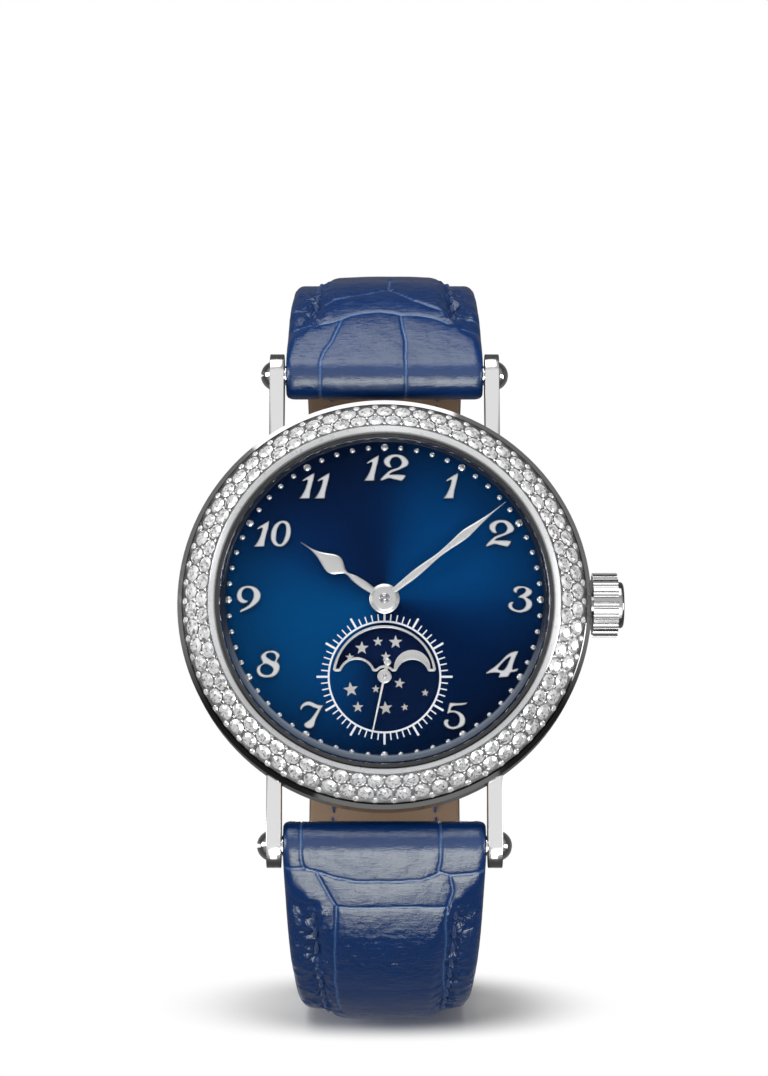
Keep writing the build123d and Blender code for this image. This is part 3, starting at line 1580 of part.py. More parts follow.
with BuildPart() as balance_wheel:
    balance_top = balance_bottom + balance_rim_height
    round_bar(balance_radius, balance_bottom, balance_top, balance_place)
    spoked_cut(
        balance_radius / 8,
        balance_radius - balance_rim_width,
        3,
        balance_rim_width,
        balance_bottom,
        balance_top,
        balance_place,
    )
    roller_top = escape_wheel_bottom + wheel_thickness
    round_bar(roller_radius, escape_wheel_bottom, roller_top, balance_place)
    arbor(pivot_radius * 3 / 2, hairspring_bottom, pinion_top, balance_place)
write_piece(balance_wheel, "balance_wheel")


def spiral_points(inner, outer, turns, steps, at):
    """Points of an even spiral from an inner to an outer radius."""
    count = turns * steps
    points = []
    for number in range(count + 1):
        radius = inner + (outer - inner) * number / count
        points.append(polar_point(radius, number * 360 / steps, at))
    return points


spiral_steps = 12
with BuildPart() as hairspring:
    with BuildSketch(Plane.XY.offset(hairspring_bottom)):
        with BuildLine():
            coil = spiral_points(
                arbor_radius + fit_gap, balance_radius / 2, hairspring_turns, spiral_steps, balance_place
            )
            Spline(*coil)
        trace(line_width=spring_band)
    extrude(amount=hairspring_height)
write_piece(hairspring, "hairspring")

barrel_radius = barrel_module * barrel_teeth / 2
drum_inner = barrel_radius - barrel_wall - 2 * barrel_module
with BuildPart() as barrel:
    gear_plate(
        barrel_teeth,
        barrel_module,
        bearing(barrel_place, centre_place),
        barrel_top - wheel_thickness,
        barrel_top,
        barrel_place,
    )
    round_bar(drum_inner + barrel_wall, barrel_bottom, barrel_top, barrel_place)
    spring_floor = barrel_bottom + wheel_thickness
    spring_roof = barrel_top - wheel_thickness
    round_bar(drum_inner, spring_floor, spring_roof, barrel_place, Mode.SUBTRACT)
    round_bar(barrel_arbor_radius + fit_gap, barrel_bottom, barrel_top, barrel_place, Mode.SUBTRACT)
write_piece(barrel, "barrel")

with BuildPart() as mainspring:
    with BuildSketch(Plane.XY.offset(spring_floor + fit_gap)):
        with BuildLine():
            coil = spiral_points(
                barrel_arbor_radius * 2,
                drum_inner - spring_band - fit_gap,
                mainspring_turns,
                spiral_steps,
                barrel_place,
            )
            Spline(*coil)
        trace(line_width=2 * spring_band)
    extrude(amount=spring_roof - spring_floor - 2 * fit_gap)
write_piece(mainspring, "mainspring")

# Winding works on the barrel bridge
arbor_hole_depth = 0.4
with BuildPart() as ratchet_wheel:
    gear_plate(
        ratchet_teeth,
        winding_module,
        bearing(barrel_place, crown_wheel_place),
        ratchet_bottom,
        ratchet_top,
        barrel_place,
    )
    arbor_end = mainplate_bottom + arbor_hole_depth - fit_gap
    round_bar(barrel_arbor_radius, ratchet_bottom, arbor_end, barrel_place)
write_piece(ratchet_wheel, "ratchet_wheel")

ring_inner = 1.6
ring_outer = 1.9
ring_depth = 0.44
crown_wheel_bore = 0.45
with BuildPart() as crown_wheel:
    gear_plate(
        crown_wheel_teeth,
        winding_module,
        gap_phase(barrel_place, crown_wheel_place, crown_wheel_teeth),
        ratchet_bottom,
        ratchet_top,
        crown_wheel_place,
    )
    round_bar(ring_outer, ratchet_top, ratchet_top + ring_depth, crown_wheel_place)
    round_bar(ring_inner, ratchet_top, ratchet_top + ring_depth, crown_wheel_place, Mode.SUBTRACT)
    round_bar(crown_wheel_bore, ratchet_bottom, ratchet_top, crown_wheel_place, Mode.SUBTRACT)
write_piece(crown_wheel, "crown_wheel")

winding_pinion_radius = stem_z - ratchet_top - ring_depth - 2 * fit_gap
winding_pinion_x = crown_wheel_distance + (ring_inner + ring_outer) / 2
winding_pinion_length = 1.0
winding_pinion_start = winding_pinion_x - winding_pinion_length / 2
with BuildPart() as winding_pinion:
    with BuildSketch(Plane.YZ.offset(winding_pinion_start)):
        with Locations((0, stem_z)):
            Circle(winding_pinion_radius)
            with PolarLocations(winding_pinion_radius, winding_teeth):
                Rectangle(winding_pinion_radius / 3, winding_pinion_radius / 5, mode=Mode.SUBTRACT)
            Circle(stem_radius + fit_gap, mode=Mode.SUBTRACT)
    extrude(amount=winding_pinion_length)
write_piece(winding_pinion, "winding_pinion")

# Mainplate: pockets for the winding works, holes for every pivot, a rim that carries the dial
rim_width = 0.7
pocket_half = winding_pinion_radius + loose_gap
with BuildPart() as mainplate:
    round_bar(movement_radius, mainplate_bottom, mainplate_top)
    round_bar(movement_radius, mainplate_top, dial_bottom)
    round_bar(movement_radius - rim_width, mainplate_top, dial_bottom, mode=Mode.SUBTRACT)
    round_bar(moon_bush_radius, mainplate_top, moon_disc_top + fit_gap, seconds_place)
    round_bar(arbor_radius - fit_gap / 2, mainplate_top, hour_wheel_low, minute_wheel_place)
    round_bar(centre_arbor_radius + fit_gap, mainplate_bottom, mainplate_top, mode=Mode.SUBTRACT)
    seconds_clear = seconds_arbor_radius + fit_gap
    round_bar(seconds_clear, mainplate_bottom, dial_bottom, seconds_place, Mode.SUBTRACT)
    pivot_end = pinion_top + pivot_length + fit_gap
    for place in (third_place, escape_place, fork_place, balance_place):
        round_bar(pivot_radius + fit_gap / 2, mainplate_bottom, pivot_end, place, Mode.SUBTRACT)
    arbor_clear = barrel_arbor_radius + fit_gap
    hole_end = mainplate_bottom + arbor_hole_depth
    round_bar(arbor_clear, mainplate_bottom, hole_end, barrel_place, Mode.SUBTRACT)
    with Locations((winding_pinion_x, 0, stem_z)):
        Box(winding_pinion_length + 2 * loose_gap, 2 * pocket_half, 2 * pocket_half, mode=Mode.SUBTRACT)
    with BuildSketch(Plane.YZ.offset(stem_inner_end - fit_gap)):
        with Locations((0, stem_z)):
            Circle(stem_radius + fit_gap)
    extrude(amount=movement_radius, mode=Mode.SUBTRACT)
write_piece(mainplate, "mainplate")

# Bridges: plates on the back side, each with a foot along the rim
foot_inner = movement_radius - foot_width
wheel_clear = 0.25
barrel_split_share = -0.1026
train_split_share = -0.1282
train_reach_share = 0.3932
cock_foot_shares = (0.4744, -0.7906)
barrel_split_y = barrel_split_share * movement_radius
train_split_y = train_split_share * movement_radius
train_reach_x = train_reach_share * movement_radius
cock_foot_place = tuple(share * movement_radius for share in cock_foot_shares)
cock_half_width = 0.8
jewel_radius = 0.55
jewel_height = 0.35
screw_radius = 0.3
screw_top_radius = 0.52
screw_top_height = 0.2
screw_ring_radius = movement_radius - foot_width / 2
barrel_screw_angles = (15.0, 100.0, 165.0)
train_screw_angles = (205.0, 262.0)
barrel_screws = [polar_point(screw_ring_radius, angle) for angle in barrel_screw_angles]
train_screws = [polar_point(screw_ring_radius, angle) for angle in train_screw_angles]
barrel_clear = barrel_module * (barrel_teeth / 2 + 1) + wheel_clear
balance_clear = balance_radius + wheel_clear
escape_clear = escape_wheel_radius + wheel_clear
bridge_thickness = bridge_bottom - bridge_top
screw_head_floor = bridge_top + screw_top_height


def screw_hole(place):
    """Hole and counterbore for a screw whose head lies flush in a bridge."""
    round_bar(screw_top_radius + fit_gap, bridge_top, screw_head_floor, place, Mode.SUBTRACT)
    round_bar(screw_radius + fit_gap / 2, bridge_top, mainplate_bottom, place, Mode.SUBTRACT)


with BuildPart() as barrel_bridge:
    with BuildSketch(Plane.XY.offset(bridge_top)):
        Circle(movement_radius)
        with Locations((0, barrel_split_y - movement_radius)):
            Rectangle(2 * movement_radius, 2 * movement_radius, mode=Mode.SUBTRACT)
    extrude(amount=bridge_thickness)
    with BuildSketch(Plane.XY.offset(bridge_bottom)):
        Circle(movement_radius)
        Circle(foot_inner, mode=Mode.SUBTRACT)
        with Locations((0, barrel_split_y - movement_radius)):
            Rectangle(2 * movement_radius, 2 * movement_radius, mode=Mode.SUBTRACT)
        with Locations(barrel_place):
            Circle(barrel_clear, mode=Mode.SUBTRACT)
    extrude(amount=mainplate_bottom - bridge_bottom)
    round_bar(barrel_arbor_radius + fit_gap, bridge_top, bridge_bottom, barrel_place, Mode.SUBTRACT)
    round_bar(jewel_radius, bridge_top, bridge_bottom, mode=Mode.SUBTRACT)
    groove_floor = ratchet_top + ring_depth + fit_gap
    with BuildSketch(Plane.XY.offset(bridge_top)):
        with Locations(crown_wheel_place):
            Circle(ring_outer + loose_gap)
            Circle(ring_inner - loose_gap, mode=Mode.SUBTRACT)
    extrude(amount=groove_floor - bridge_top, mode=Mode.SUBTRACT)
    round_bar(screw_radius + fit_gap / 2, bridge_top, bridge_bottom, crown_wheel_place, Mode.SUBTRACT)
    with Locations((winding_pinion_x, 0, stem_z)):
        Box(winding_pinion_length + 2 * loose_gap, 2 * pocket_half, 2 * pocket_half, mode=Mode.SUBTRACT)
    with BuildSketch(Plane.YZ.offset(stem_inner_end - fit_gap)):
        with Locations((0, stem_z)):
            Circle(stem_radius + fit_gap)
    extrude(amount=movement_radius, mode=Mode.SUBTRACT)
    for place in barrel_screws:
        screw_hole(place)
write_piece(barrel_bridge, "barrel_bridge")

with BuildPart() as train_bridge:
    with BuildSketch(Plane.XY.offset(bridge_top)) as train_outline:
        Circle(movement_radius)
        with Locations((0, train_split_y + movement_radius)):
            Rectangle(2 * movement_radius, 2 * movement_radius, mode=Mode.SUBTRACT)
        with Locations((train_reach_x + movement_radius, 0)):
            Rectangle(2 * movement_radius, 2 * movement_radius, mode=Mode.SUBTRACT)
        with Locations(balance_place):
            Circle(balance_clear, mode=Mode.SUBTRACT)
        with Locations(cock_foot_place):
            Circle(cock_half_width + wheel_clear, mode=Mode.SUBTRACT)
        with BuildLine(mode=Mode.PRIVATE) as cock_line:
            Line(balance_place, cock_foot_place)
        trace(cock_line.line, line_width=2 * (cock_half_width + wheel_clear), mode=Mode.SUBTRACT)
    extrude(amount=bridge_thickness)
    with BuildSketch(Plane.XY.offset(bridge_bottom)):
        Circle(movement_radius)
        Circle(foot_inner, mode=Mode.SUBTRACT)
        with Locations((0, train_split_y + movement_radius)):
            Rectangle(2 * movement_radius, 2 * movement_radius, mode=Mode.SUBTRACT)
        with Locations((train_reach_x / 2 + movement_radius, 0)):
            Rectangle(2 * movement_radius, 2 * movement_radius, mode=Mode.SUBTRACT)
        with Locations(escape_place):
            Circle(escape_clear, mode=Mode.SUBTRACT)
    extrude(amount=mainplate_bottom - bridge_bottom)
    for place in (third_place, seconds_place, escape_place, fork_place):
        round_bar(jewel_radius, bridge_top, bridge_bottom, place, Mode.SUBTRACT)
    for place in train_screws:
        screw_hole(place)
write_piece(train_bridge, "train_bridge")

with BuildPart() as balance_cock:
    with BuildSketch(Plane.XY.offset(bridge_top)):
        with BuildLine():
            Line(balance_place, cock_foot_place)
        trace(line_width=2 * cock_half_width)
        with Locations(balance_place, cock_foot_place):
            Circle(cock_half_width)
    extrude(amount=cock_underside - bridge_top)
    round_bar(cock_half_width, cock_underside, mainplate_bottom, cock_foot_place)
    round_bar(jewel_radius, bridge_top, cock_underside, balance_place, Mode.SUBTRACT)
    screw_hole(cock_foot_place)
write_piece(balance_cock, "balance_cock")

with BuildPart() as jewels:
    for place in (centre_place, third_place, seconds_place, escape_place, fork_place, balance_place):
        round_bar(jewel_radius, bridge_top, bridge_top + jewel_height, place)
        hole = pivot_radius + fit_gap / 2
        round_bar(hole, bridge_top, bridge_top + jewel_height, place, Mode.SUBTRACT)
write_piece(jewels, "jewels")

with BuildPart() as bridge_screws:
    for place in barrel_screws + train_screws + [cock_foot_place]:
        round_bar(screw_top_radius, bridge_top, screw_head_floor, place)
        round_bar(screw_radius, screw_head_floor, mainplate_bottom, place)
    cap_low = ratchet_bottom - screw_top_height
    round_bar(screw_top_radius, cap_low, ratchet_bottom, crown_wheel_place)
    round_bar(screw_radius, ratchet_bottom, groove_floor, crown_wheel_place)
    for place in barrel_screws + train_screws + [cock_foot_place, crown_wheel_place]:
        low = cap_low if place is crown_wheel_place else bridge_top
        with Locations((*place, low)):
            Box(
                2 * screw_top_radius,
                screw_top_height,
                screw_top_height,
                mode=Mode.SUBTRACT,
            )
write_piece(bridge_screws, "bridge_screws")

with BuildPart() as movement_ring:
    round_bar(case_bore_radius - fit_gap, movement_ring_bottom, mainplate_top)
    round_bar(movement_radius + fit_gap, movement_ring_bottom, mainplate_top, mode=Mode.SUBTRACT)
    with BuildSketch(Plane.YZ.offset(movement_radius - overrun)):
        with Locations((0, stem_z)):
            Circle(stem_radius + fit_gap)
    extrude(amount=2 * overrun, mode=Mode.SUBTRACT)
write_piece(movement_ring, "movement_ring")
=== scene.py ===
import random
from math import atan, atan2, cos, hypot, pi, radians, sin, sqrt, tan, tau

import bpy
import numpy as np
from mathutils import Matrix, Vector, noise


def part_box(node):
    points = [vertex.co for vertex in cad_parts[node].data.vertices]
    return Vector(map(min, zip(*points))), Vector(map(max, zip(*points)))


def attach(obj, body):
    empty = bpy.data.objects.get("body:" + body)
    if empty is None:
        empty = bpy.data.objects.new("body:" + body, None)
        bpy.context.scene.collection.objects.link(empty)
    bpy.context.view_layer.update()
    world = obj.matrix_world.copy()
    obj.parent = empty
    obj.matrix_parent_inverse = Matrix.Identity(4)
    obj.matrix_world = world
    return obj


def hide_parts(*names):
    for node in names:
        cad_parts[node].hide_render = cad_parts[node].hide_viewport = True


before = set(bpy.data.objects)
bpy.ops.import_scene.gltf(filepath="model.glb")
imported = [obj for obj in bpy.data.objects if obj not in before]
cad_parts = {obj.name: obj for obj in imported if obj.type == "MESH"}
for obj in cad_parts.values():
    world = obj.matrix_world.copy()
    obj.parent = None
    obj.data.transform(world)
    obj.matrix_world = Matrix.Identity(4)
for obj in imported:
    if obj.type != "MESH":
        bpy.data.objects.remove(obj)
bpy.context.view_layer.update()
MM = 0.001
DIAL_TOP = 5.6
ACROSS, UP, OUT = Vector((1, 0, 0)), Vector((0, 1, 0)), Vector((0, 0, 1))


def new_object(name, data):
    obj = bpy.data.objects.new(name, data)
    bpy.context.scene.collection.objects.link(obj)
    return obj


def mesh_object(name, verts, faces, smooth=True):
    """A mesh from millimetre points."""
    mesh = bpy.data.meshes.new(name)
    mesh.from_pydata([(x * MM, y * MM, z * MM) for x, y, z in verts], [], faces)
    mesh.validate()
    if smooth:
        mesh.polygons.foreach_set("use_smooth", [True] * len(mesh.polygons))
    mesh.update()
    return new_object(name, mesh)


def install(obj, mat, body, replaced=None):
    """Gives a piece its material and the body it rides on, and hides the CAD node it stands for."""
    obj.data.materials.append(mat)
    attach(obj, body)
    if replaced:
        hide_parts(replaced)


def polar(radius, angle):
    return radius * cos(angle), radius * sin(angle)


def ring_faces(faces, start, rings, sides, flip=False):
    """Quads between closed rings of points that follow each other."""
    for i in range(rings - 1):
        a = start + i * sides
        b = a + sides
        for k in range(sides):
            n = (k + 1) % sides
            faces.append((a + k, a + n, b + n, b + k) if flip else (a + k, b + k, b + n, a + n))


# Camera: 9.5 degrees off the dial's axis, towards six o'clock
VIEW_TILT = radians(9.5)
VIEW_DISTANCE = 0.220
PX_PER_MM = 12.62
FOCAL_PX = PX_PER_MM * VIEW_DISTANCE * 1000.0
PHOTO_W, PHOTO_H = 768, 1076
DIAL_PX = (384.5, 599.8)
SENSOR = 36.0
cam_data = bpy.data.cameras.new("camera")
cam_data.sensor_fit = "VERTICAL"
cam_data.sensor_height = SENSOR
cam_data.sensor_width = SENSOR
cam_data.lens = FOCAL_PX / PHOTO_H * SENSOR
cam_data.clip_start = 0.01
cam_data.clip_end = 10.0
cam = new_object("camera", cam_data)
cam.location = (
    0.0,
    -VIEW_DISTANCE * sin(VIEW_TILT),
    DIAL_TOP * MM + VIEW_DISTANCE * cos(VIEW_TILT),
)
aim_up = atan((DIAL_PX[1] - PHOTO_H / 2) / FOCAL_PX)
aim_side = atan((DIAL_PX[0] - PHOTO_W / 2) / FOCAL_PX)
cam.rotation_euler = (VIEW_TILT + aim_up, aim_side, 0.0)
bpy.context.scene.camera = cam


class Graph:
    """Nodes of one material or world, made and joined by short calls."""

    def __init__(self, owner):
        owner.use_nodes = True
        self.owner = owner
        self.tree = owner.node_tree
        self.main = self.tree.nodes.get("Principled BSDF")

    def node(self, kind, **values):
        made = self.tree.nodes.new(kind)
        for key, value in values.items():
            setattr(made, key, value)
        return made

    def feed(self, target, value):
        if isinstance(value, bpy.types.NodeSocket):
            self.tree.links.new(value, target)
        elif target.type == "RGBA" and len(value) == 3:
            target.default_value = (*value, 1.0)
        else:
            target.default_value = value

    def put(self, shader=None, **sockets):
        """Values or links for a node's inputs, named with _ for a space."""
        for name, value in sockets.items():
            self.feed((shader or self.main).inputs[name.replace("_", " ")], value)

    def math(self, op, *args, clamp=False):
        made = self.node("ShaderNodeMath", operation=op, use_clamp=clamp)
        for socket, value in zip(made.inputs, args):
            self.feed(socket, value)
        return made.outputs[0]

    def mul(self, a, b):
        return self.math("MULTIPLY", a, b)

    def add(self, a, b):
        return self.math("ADD", a, b)

    def vector(self, op, *args):
        made = self.node("ShaderNodeVectorMath", operation=op)
        for socket, value in zip(made.inputs, args):
            self.feed(socket, value)
        return made.outputs["Value" if op == "LENGTH" else "Vector"]

    def mapping(self, scale=(1, 1, 1), source="Object", turn=0.0):
        made = self.node("ShaderNodeMapping")
        at = self.node("ShaderNodeTexCoord").outputs[source]
        self.put(made, Scale=scale, Rotation=(0, 0, radians(turn)), Vector=at)
        return made.outputs["Vector"]

    def grain(self, vector, scale, detail=4.0, rough=0.55):
        made = self.node("ShaderNodeTexNoise")
        self.put(made, Vector=vector, Scale=scale, Detail=detail, Roughness=rough)
        return made.outputs["Fac"]

    def texture(self, kind, vector, scale, **values):
        made = self.node(kind, **values)
        self.put(made, Vector=vector, Scale=scale)
        return made.outputs

    def span(self, value, low, high, to_low=0.0, to_high=1.0, smooth=False):
        made = self.node("ShaderNodeMapRange")
        if smooth:
            made.interpolation_type = "SMOOTHSTEP"
        self.put(made, Value=value, From_Min=low, From_Max=high, To_Min=to_low, To_Max=to_high)
        return made.outputs["Result"]

    def ramp(self, fac, stops, interpolation="LINEAR"):
        made = self.node("ShaderNodeValToRGB")
        made.color_ramp.interpolation = interpolation
        while len(made.color_ramp.elements) < len(stops):
            made.color_ramp.elements.new(0.5)
        for element, (place, colour) in zip(made.color_ramp.elements, stops):
            element.position = place
            element.color = (*colour, 1.0)
        self.put(made, Fac=fac)
        return made.outputs["Color"]

    def mix(self, fac, a, b, blend="MIX"):
        made = self.node("ShaderNodeMix", data_type="RGBA", blend_type=blend)
        for socket, value in zip((0, 6, 7), (fac, a, b)):
            self.feed(made.inputs[socket], value)
        return made.outputs[2]

    def mix_shader(self, fac, a, b):
        made = self.node("ShaderNodeMixShader")
        for socket, value in zip(made.inputs, (fac, a, b)):
            self.feed(socket, value)
        return made.outputs[0]

    def attribute(self, name):
        return self.node("ShaderNodeAttribute", attribute_name=name).outputs["Fac"]

    def bump(self, height, strength=0.3, distance=0.00002):
        made = self.node("ShaderNodeBump")
        self.put(made, Strength=strength, Distance=distance, Height=height)
        self.put(Normal=made.outputs["Normal"])

    def split(self, vector):
        made = self.node("ShaderNodeSeparateXYZ")
        self.feed(made.inputs[0], vector)
        return made.outputs

    def reach(self, x, y):
        return self.math("POWER", self.add(self.mul(x, x), self.mul(y, y)), 0.5)

    def dial_place(self):
        """Distance from the dial's axis, then x and y, in metres."""
        x, y, _ = self.split(self.node("ShaderNodeTexCoord").outputs["Object"])
        return self.reach(x, y), x, y

    def surface(self, shader):
        self.feed(self.tree.nodes["Material Output"].inputs["Surface"], shader)


def material(name):
    return Graph(bpy.data.materials.new(name))


def grey(value):
    return (value, value, value)


def metal(name, colour, rough, spread=0.06, grain=900.0, bumpy=0.04, tint=0.05):
    """Metal with fine handling marks in its roughness, tone and surface."""
    g = material(name)
    vector = g.mapping()
    fine = g.grain(vector, grain, 5.0)
    dark = tuple(c * (1 - tint) for c in colour)
    g.put(
        Metallic=1.0,
        Base_Color=g.mix(g.grain(vector, grain / 12, 3.0), dark, colour),
        Roughness=g.span(fine, 0.3, 0.7, max(rough - spread, 0.015), rough + spread),
    )
    g.bump(fine, bumpy, 0.00001)
    return g.owner


def painted_shade_metal(name, top, side, low, high, rough, painted_low_band=None, rounding=0.0):
    """Polished metal with painted shade: steep faces are painted darker than upward ones, and a painted dark
    reflection can lie low on the case side.
    """
    g = material(name)
    normal = g.node("ShaderNodeNewGeometry").outputs["Normal"]
    if rounding:
        soft = g.node("ShaderNodeBevel", samples=6)
        g.put(soft, Radius=rounding * MM)
        normal = soft.outputs["Normal"]
    fine = g.grain(g.mapping(), 1400.0)
    # painted shade: faces go from the side tone to the top tone as they turn upwards
    lean = g.span(g.split(normal)["Z"], low, high, smooth=True)
    colour = g.mix(lean, grey(side), grey(top))
    # painted dark reflection on the steep faces towards six o'clock
    if painted_low_band:
        radius, _, y = g.dial_place()
        inside = g.span(radius, 16.9 * MM, 16.7 * MM)
        painted_band_mask = g.mul(inside, g.span(y, 3.0 * MM, -4.0 * MM, smooth=True))
        painted_band_mask = g.mul(painted_band_mask, g.span(lean, 1.0, 0.6))
        colour = g.mix(painted_band_mask, colour, grey(painted_low_band))
    g.put(
        Metallic=1.0,
        Base_Color=colour,
        Roughness=g.span(fine, 0.3, 0.7, rough - 0.03, rough + 0.03),
    )
    g.bump(fine, 0.02, 0.00001)
    return g.owner


def plate_material():
    """Plated bridges with straight parallel stripes and a fine grain across each."""
    g = material("plate_metal")
    stripe_turn = 35
    wave = g.texture(
        "ShaderNodeTexWave",
        g.mapping(turn=stripe_turn),
        180.0,
        wave_type="BANDS",
        bands_direction="X",
        wave_profile="SAW",
    )["Fac"]
    fine = g.grain(g.mapping((6, 0.4, 1), turn=stripe_turn), 1800.0)
    tone = g.mix(wave, (0.58, 0.57, 0.55), (0.76, 0.755, 0.74))
    g.put(
        Metallic=1.0,
        Base_Color=g.mix(g.mul(fine, 0.3), tone, (0.5, 0.49, 0.47)),
        Roughness=g.span(fine, 0.3, 0.7, 0.2, 0.36),
    )
    g.bump(wave, 0.35)
    return g.owner


def speckled(name, low, high, rough, scale, detail, strength=0.0, **sockets):
    """Plain surface whose colour wanders between two tones."""
    g = material(name)
    speck = g.grain(g.mapping(), scale, detail)
    g.put(Base_Color=g.mix(speck, low, high), Roughness=rough, **sockets)
    if strength:
        g.bump(speck, strength)
    return g.owner


def crystal_material(name, edge_radius):
    """Coated clear glass, all but free of glare from the front, with a frosted grey bevel at its rim,
    painted dark towards the top and light towards the bottom as painted shade and reflection.
    """
    g = material(name)
    g.tree.nodes.remove(g.main)
    facing = g.node("ShaderNodeLayerWeight")
    g.put(facing, Blend=0.3)
    grazing = g.math("POWER", facing.outputs["Facing"], 3.0)
    clear = g.node("ShaderNodeBsdfTransparent")
    g.put(clear, Color=(0.985, 0.99, 1.0))
    gloss = g.node("ShaderNodeBsdfGlossy")
    smear = g.grain(g.mapping(), 300.0, 2.0)
    g.put(gloss, Color=(0.9, 0.93, 1.0), Roughness=g.span(smear, 0.3, 0.7, 0.02, 0.06))
    shader = g.mix_shader(g.add(g.mul(grazing, 0.45), 0.001), clear.outputs[0], gloss.outputs[0])
    if edge_radius:
        radius, _, y = g.dial_place()
        inner = g.span(radius, (edge_radius - 0.62) * MM, (edge_radius - 0.52) * MM)
        outer = g.span(radius, (edge_radius - 0.12) * MM, (edge_radius - 0.2) * MM)
        # painted shade and reflection: the bevel's tint goes from dark at the top to light at the bottom
        below = g.span(y, -1.0 * MM, -9.0 * MM, smooth=True)
        frost = g.node("ShaderNodeBsdfPrincipled")
        tint = g.mix(below, (0.01, 0.014, 0.024), (0.16, 0.19, 0.24))
        g.put(frost, Base_Color=tint, Metallic=0.3, Roughness=0.3, Specular_IOR_Level=0.1)
        shader = g.mix_shader(g.mul(g.mul(inner, outer), 0.72), shader, frost.outputs[0])
    g.surface(shader)
    return g.owner


# Painted reflection of the sunray brushing: the dial's tone by the share of a turn from three o'clock,
# against the clock
DIAL_PAINTED_SHEEN = (
    (0.0, (0.0, 0.032, 0.125)),
    (0.045, (0.0, 0.05, 0.175)),
    (0.1, (0.0, 0.04, 0.145)),
    (0.165, (0.0, 0.041, 0.15)),
    (0.215, (0.0, 0.028, 0.105)),
    (0.255, (0.001, 0.01, 0.048)),
    (0.33, (0.001, 0.009, 0.042)),
    (0.41, (0.001, 0.018, 0.08)),
    (0.46, (0.0, 0.044, 0.15)),
    (0.53, (0.0, 0.057, 0.18)),
    (0.62, (0.0, 0.048, 0.16)),
    (0.68, (0.0, 0.034, 0.125)),
    (0.74, (0.0, 0.013, 0.055)),
    (0.83, (0.0, 0.008, 0.04)),
    (0.92, (0.0, 0.009, 0.045)),
    (0.965, (0.0, 0.016, 0.072)),
    (1.0, (0.0, 0.032, 0.125)),
)
SUBDIAL = (0.0, -6.1495)


def dial_material():
    """Blue lacquer over a fine sunray brushing, with a painted reflection: the tone turns with the angle
    round the centre.
    """
    g = material("dial_blue")
    radius, x, y = g.dial_place()
    turn = g.math("FRACT", g.add(g.math("DIVIDE", g.math("ARCTAN2", y, x), tau), 1.0))
    angle = g.mul(turn, tau)
    rays_at = g.node("ShaderNodeCombineXYZ")
    g.put(rays_at, X=g.math("COSINE", angle), Y=g.math("SINE", angle), Z=g.mul(radius, 12.0))
    rays = g.grain(rays_at.outputs[0], 55.0, 4.0, 0.6)
    # painted reflection: the tone by angle stands in for the lamps caught in the rays
    tone = g.ramp(turn, DIAL_PAINTED_SHEEN, "B_SPLINE")
    shade = g.span(radius, 6.5 * MM, 13.0 * MM, 1.0, 0.62, True)
    level = g.mul(shade, g.span(rays, 0.3, 0.7, 0.9, 1.1))
    lacquer = g.mix(1.0, tone, level, "MULTIPLY")
    from_moon = g.reach(x, g.add(y, -SUBDIAL[1] * MM))
    night = g.span(from_moon, 4.4 * MM, 4.38 * MM)
    deep = g.mul(night, g.span(x, -3.4 * MM, 1.2 * MM, 0.1, 1.0, True))
    g.put(
        Base_Color=g.mix(deep, lacquer, (0.0008, 0.0075, 0.034)),
        Metallic=g.span(deep, 0.0, 1.0, 0.2, 0.0),
        Roughness=g.span(rays, 0.3, 0.7, 0.3, 0.4),
        Specular_IOR_Level=0.03,
    )
    g.bump(rays, 0.06)
    return g.owner


def bezel_material():
    """Polished rim and inner wall with painted light and shade: darker between the stones, and the rim, the
    less metallic inner wall and its foot painted lighter towards the top and darker towards the bottom.
    """
    g = material("bezel_metal")
    radius, _, y = g.dial_place()
    inside = g.span(radius, 14.02 * MM, 14.08 * MM)
    setting = g.mul(inside, g.span(radius, 16.0 * MM, 15.94 * MM))
    fine = g.grain(g.mapping(), 1500.0, 3.0)
    rim = g.span(radius, 15.95 * MM, 16.02 * MM)
    wall = g.span(radius, 13.96 * MM, 13.86 * MM)
    foot = g.span(radius, 13.56 * MM, 13.46 * MM)
    # painted light and shade: rim, wall and foot go lighter towards the top and darker towards the bottom
    above = g.span(y, -9.0 * MM, -2.0 * MM, smooth=True)
    # painted shade: the metal between the stones is darker
    tone = g.mix(setting, (0.93, 0.93, 0.925), (0.6, 0.6, 0.605))
    for place, low, high in ((wall, 0.6, 0.95), (foot, 0.008, 0.3), (rim, 0.03, 0.42)):
        tone = g.mix(place, tone, g.mix(above, grey(low), grey(high)))
    spread = g.add(g.mul(setting, 0.25), g.mul(wall, 0.22))
    g.put(
        Base_Color=tone,
        Metallic=g.span(wall, 0.0, 1.0, 1.0, 0.2),
        Specular_IOR_Level=0.2,
        Roughness=g.add(g.span(fine, 0.3, 0.7, 0.04, 0.1), spread),
    )
    g.bump(fine, 0.03, 0.00001)
    return g.owner


def dress(names, mat):
    for name in names.split():
        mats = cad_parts[name].data.materials
        mats.clear()
        mats.append(mat)


polished = metal("polished_metal", (0.88, 0.88, 0.875), 0.06, 0.03, 1400.0, 0.02, 0.03)
satin = metal("satin_metal", (0.74, 0.725, 0.7), 0.3, 0.04, 3200.0, 0.02)
dark_steel = metal("dark_steel", (0.55, 0.55, 0.56), 0.16, 0.05, 2200.0)
pearl_metal = metal("pearl_metal", (0.8, 0.795, 0.78), 0.34, 0.05, 2400.0)
rubber = speckled("seal_rubber", (0.02, 0.02, 0.022), (0.045, 0.045, 0.045), 0.6, 2500.0, 3.0, 0.2)
ruby = speckled("ruby", (0.42, 0.005, 0.045), (0.75, 0.03, 0.12), 0.08, 1500.0, 2.0, Coat_Weight=0.6)
moon_sky = speckled(
    "moon_sky", (0.001, 0.006, 0.036), (0.002, 0.012, 0.055), 0.45, 5000.0, 3.0, 0.1, Specular_IOR_Level=0.04
)
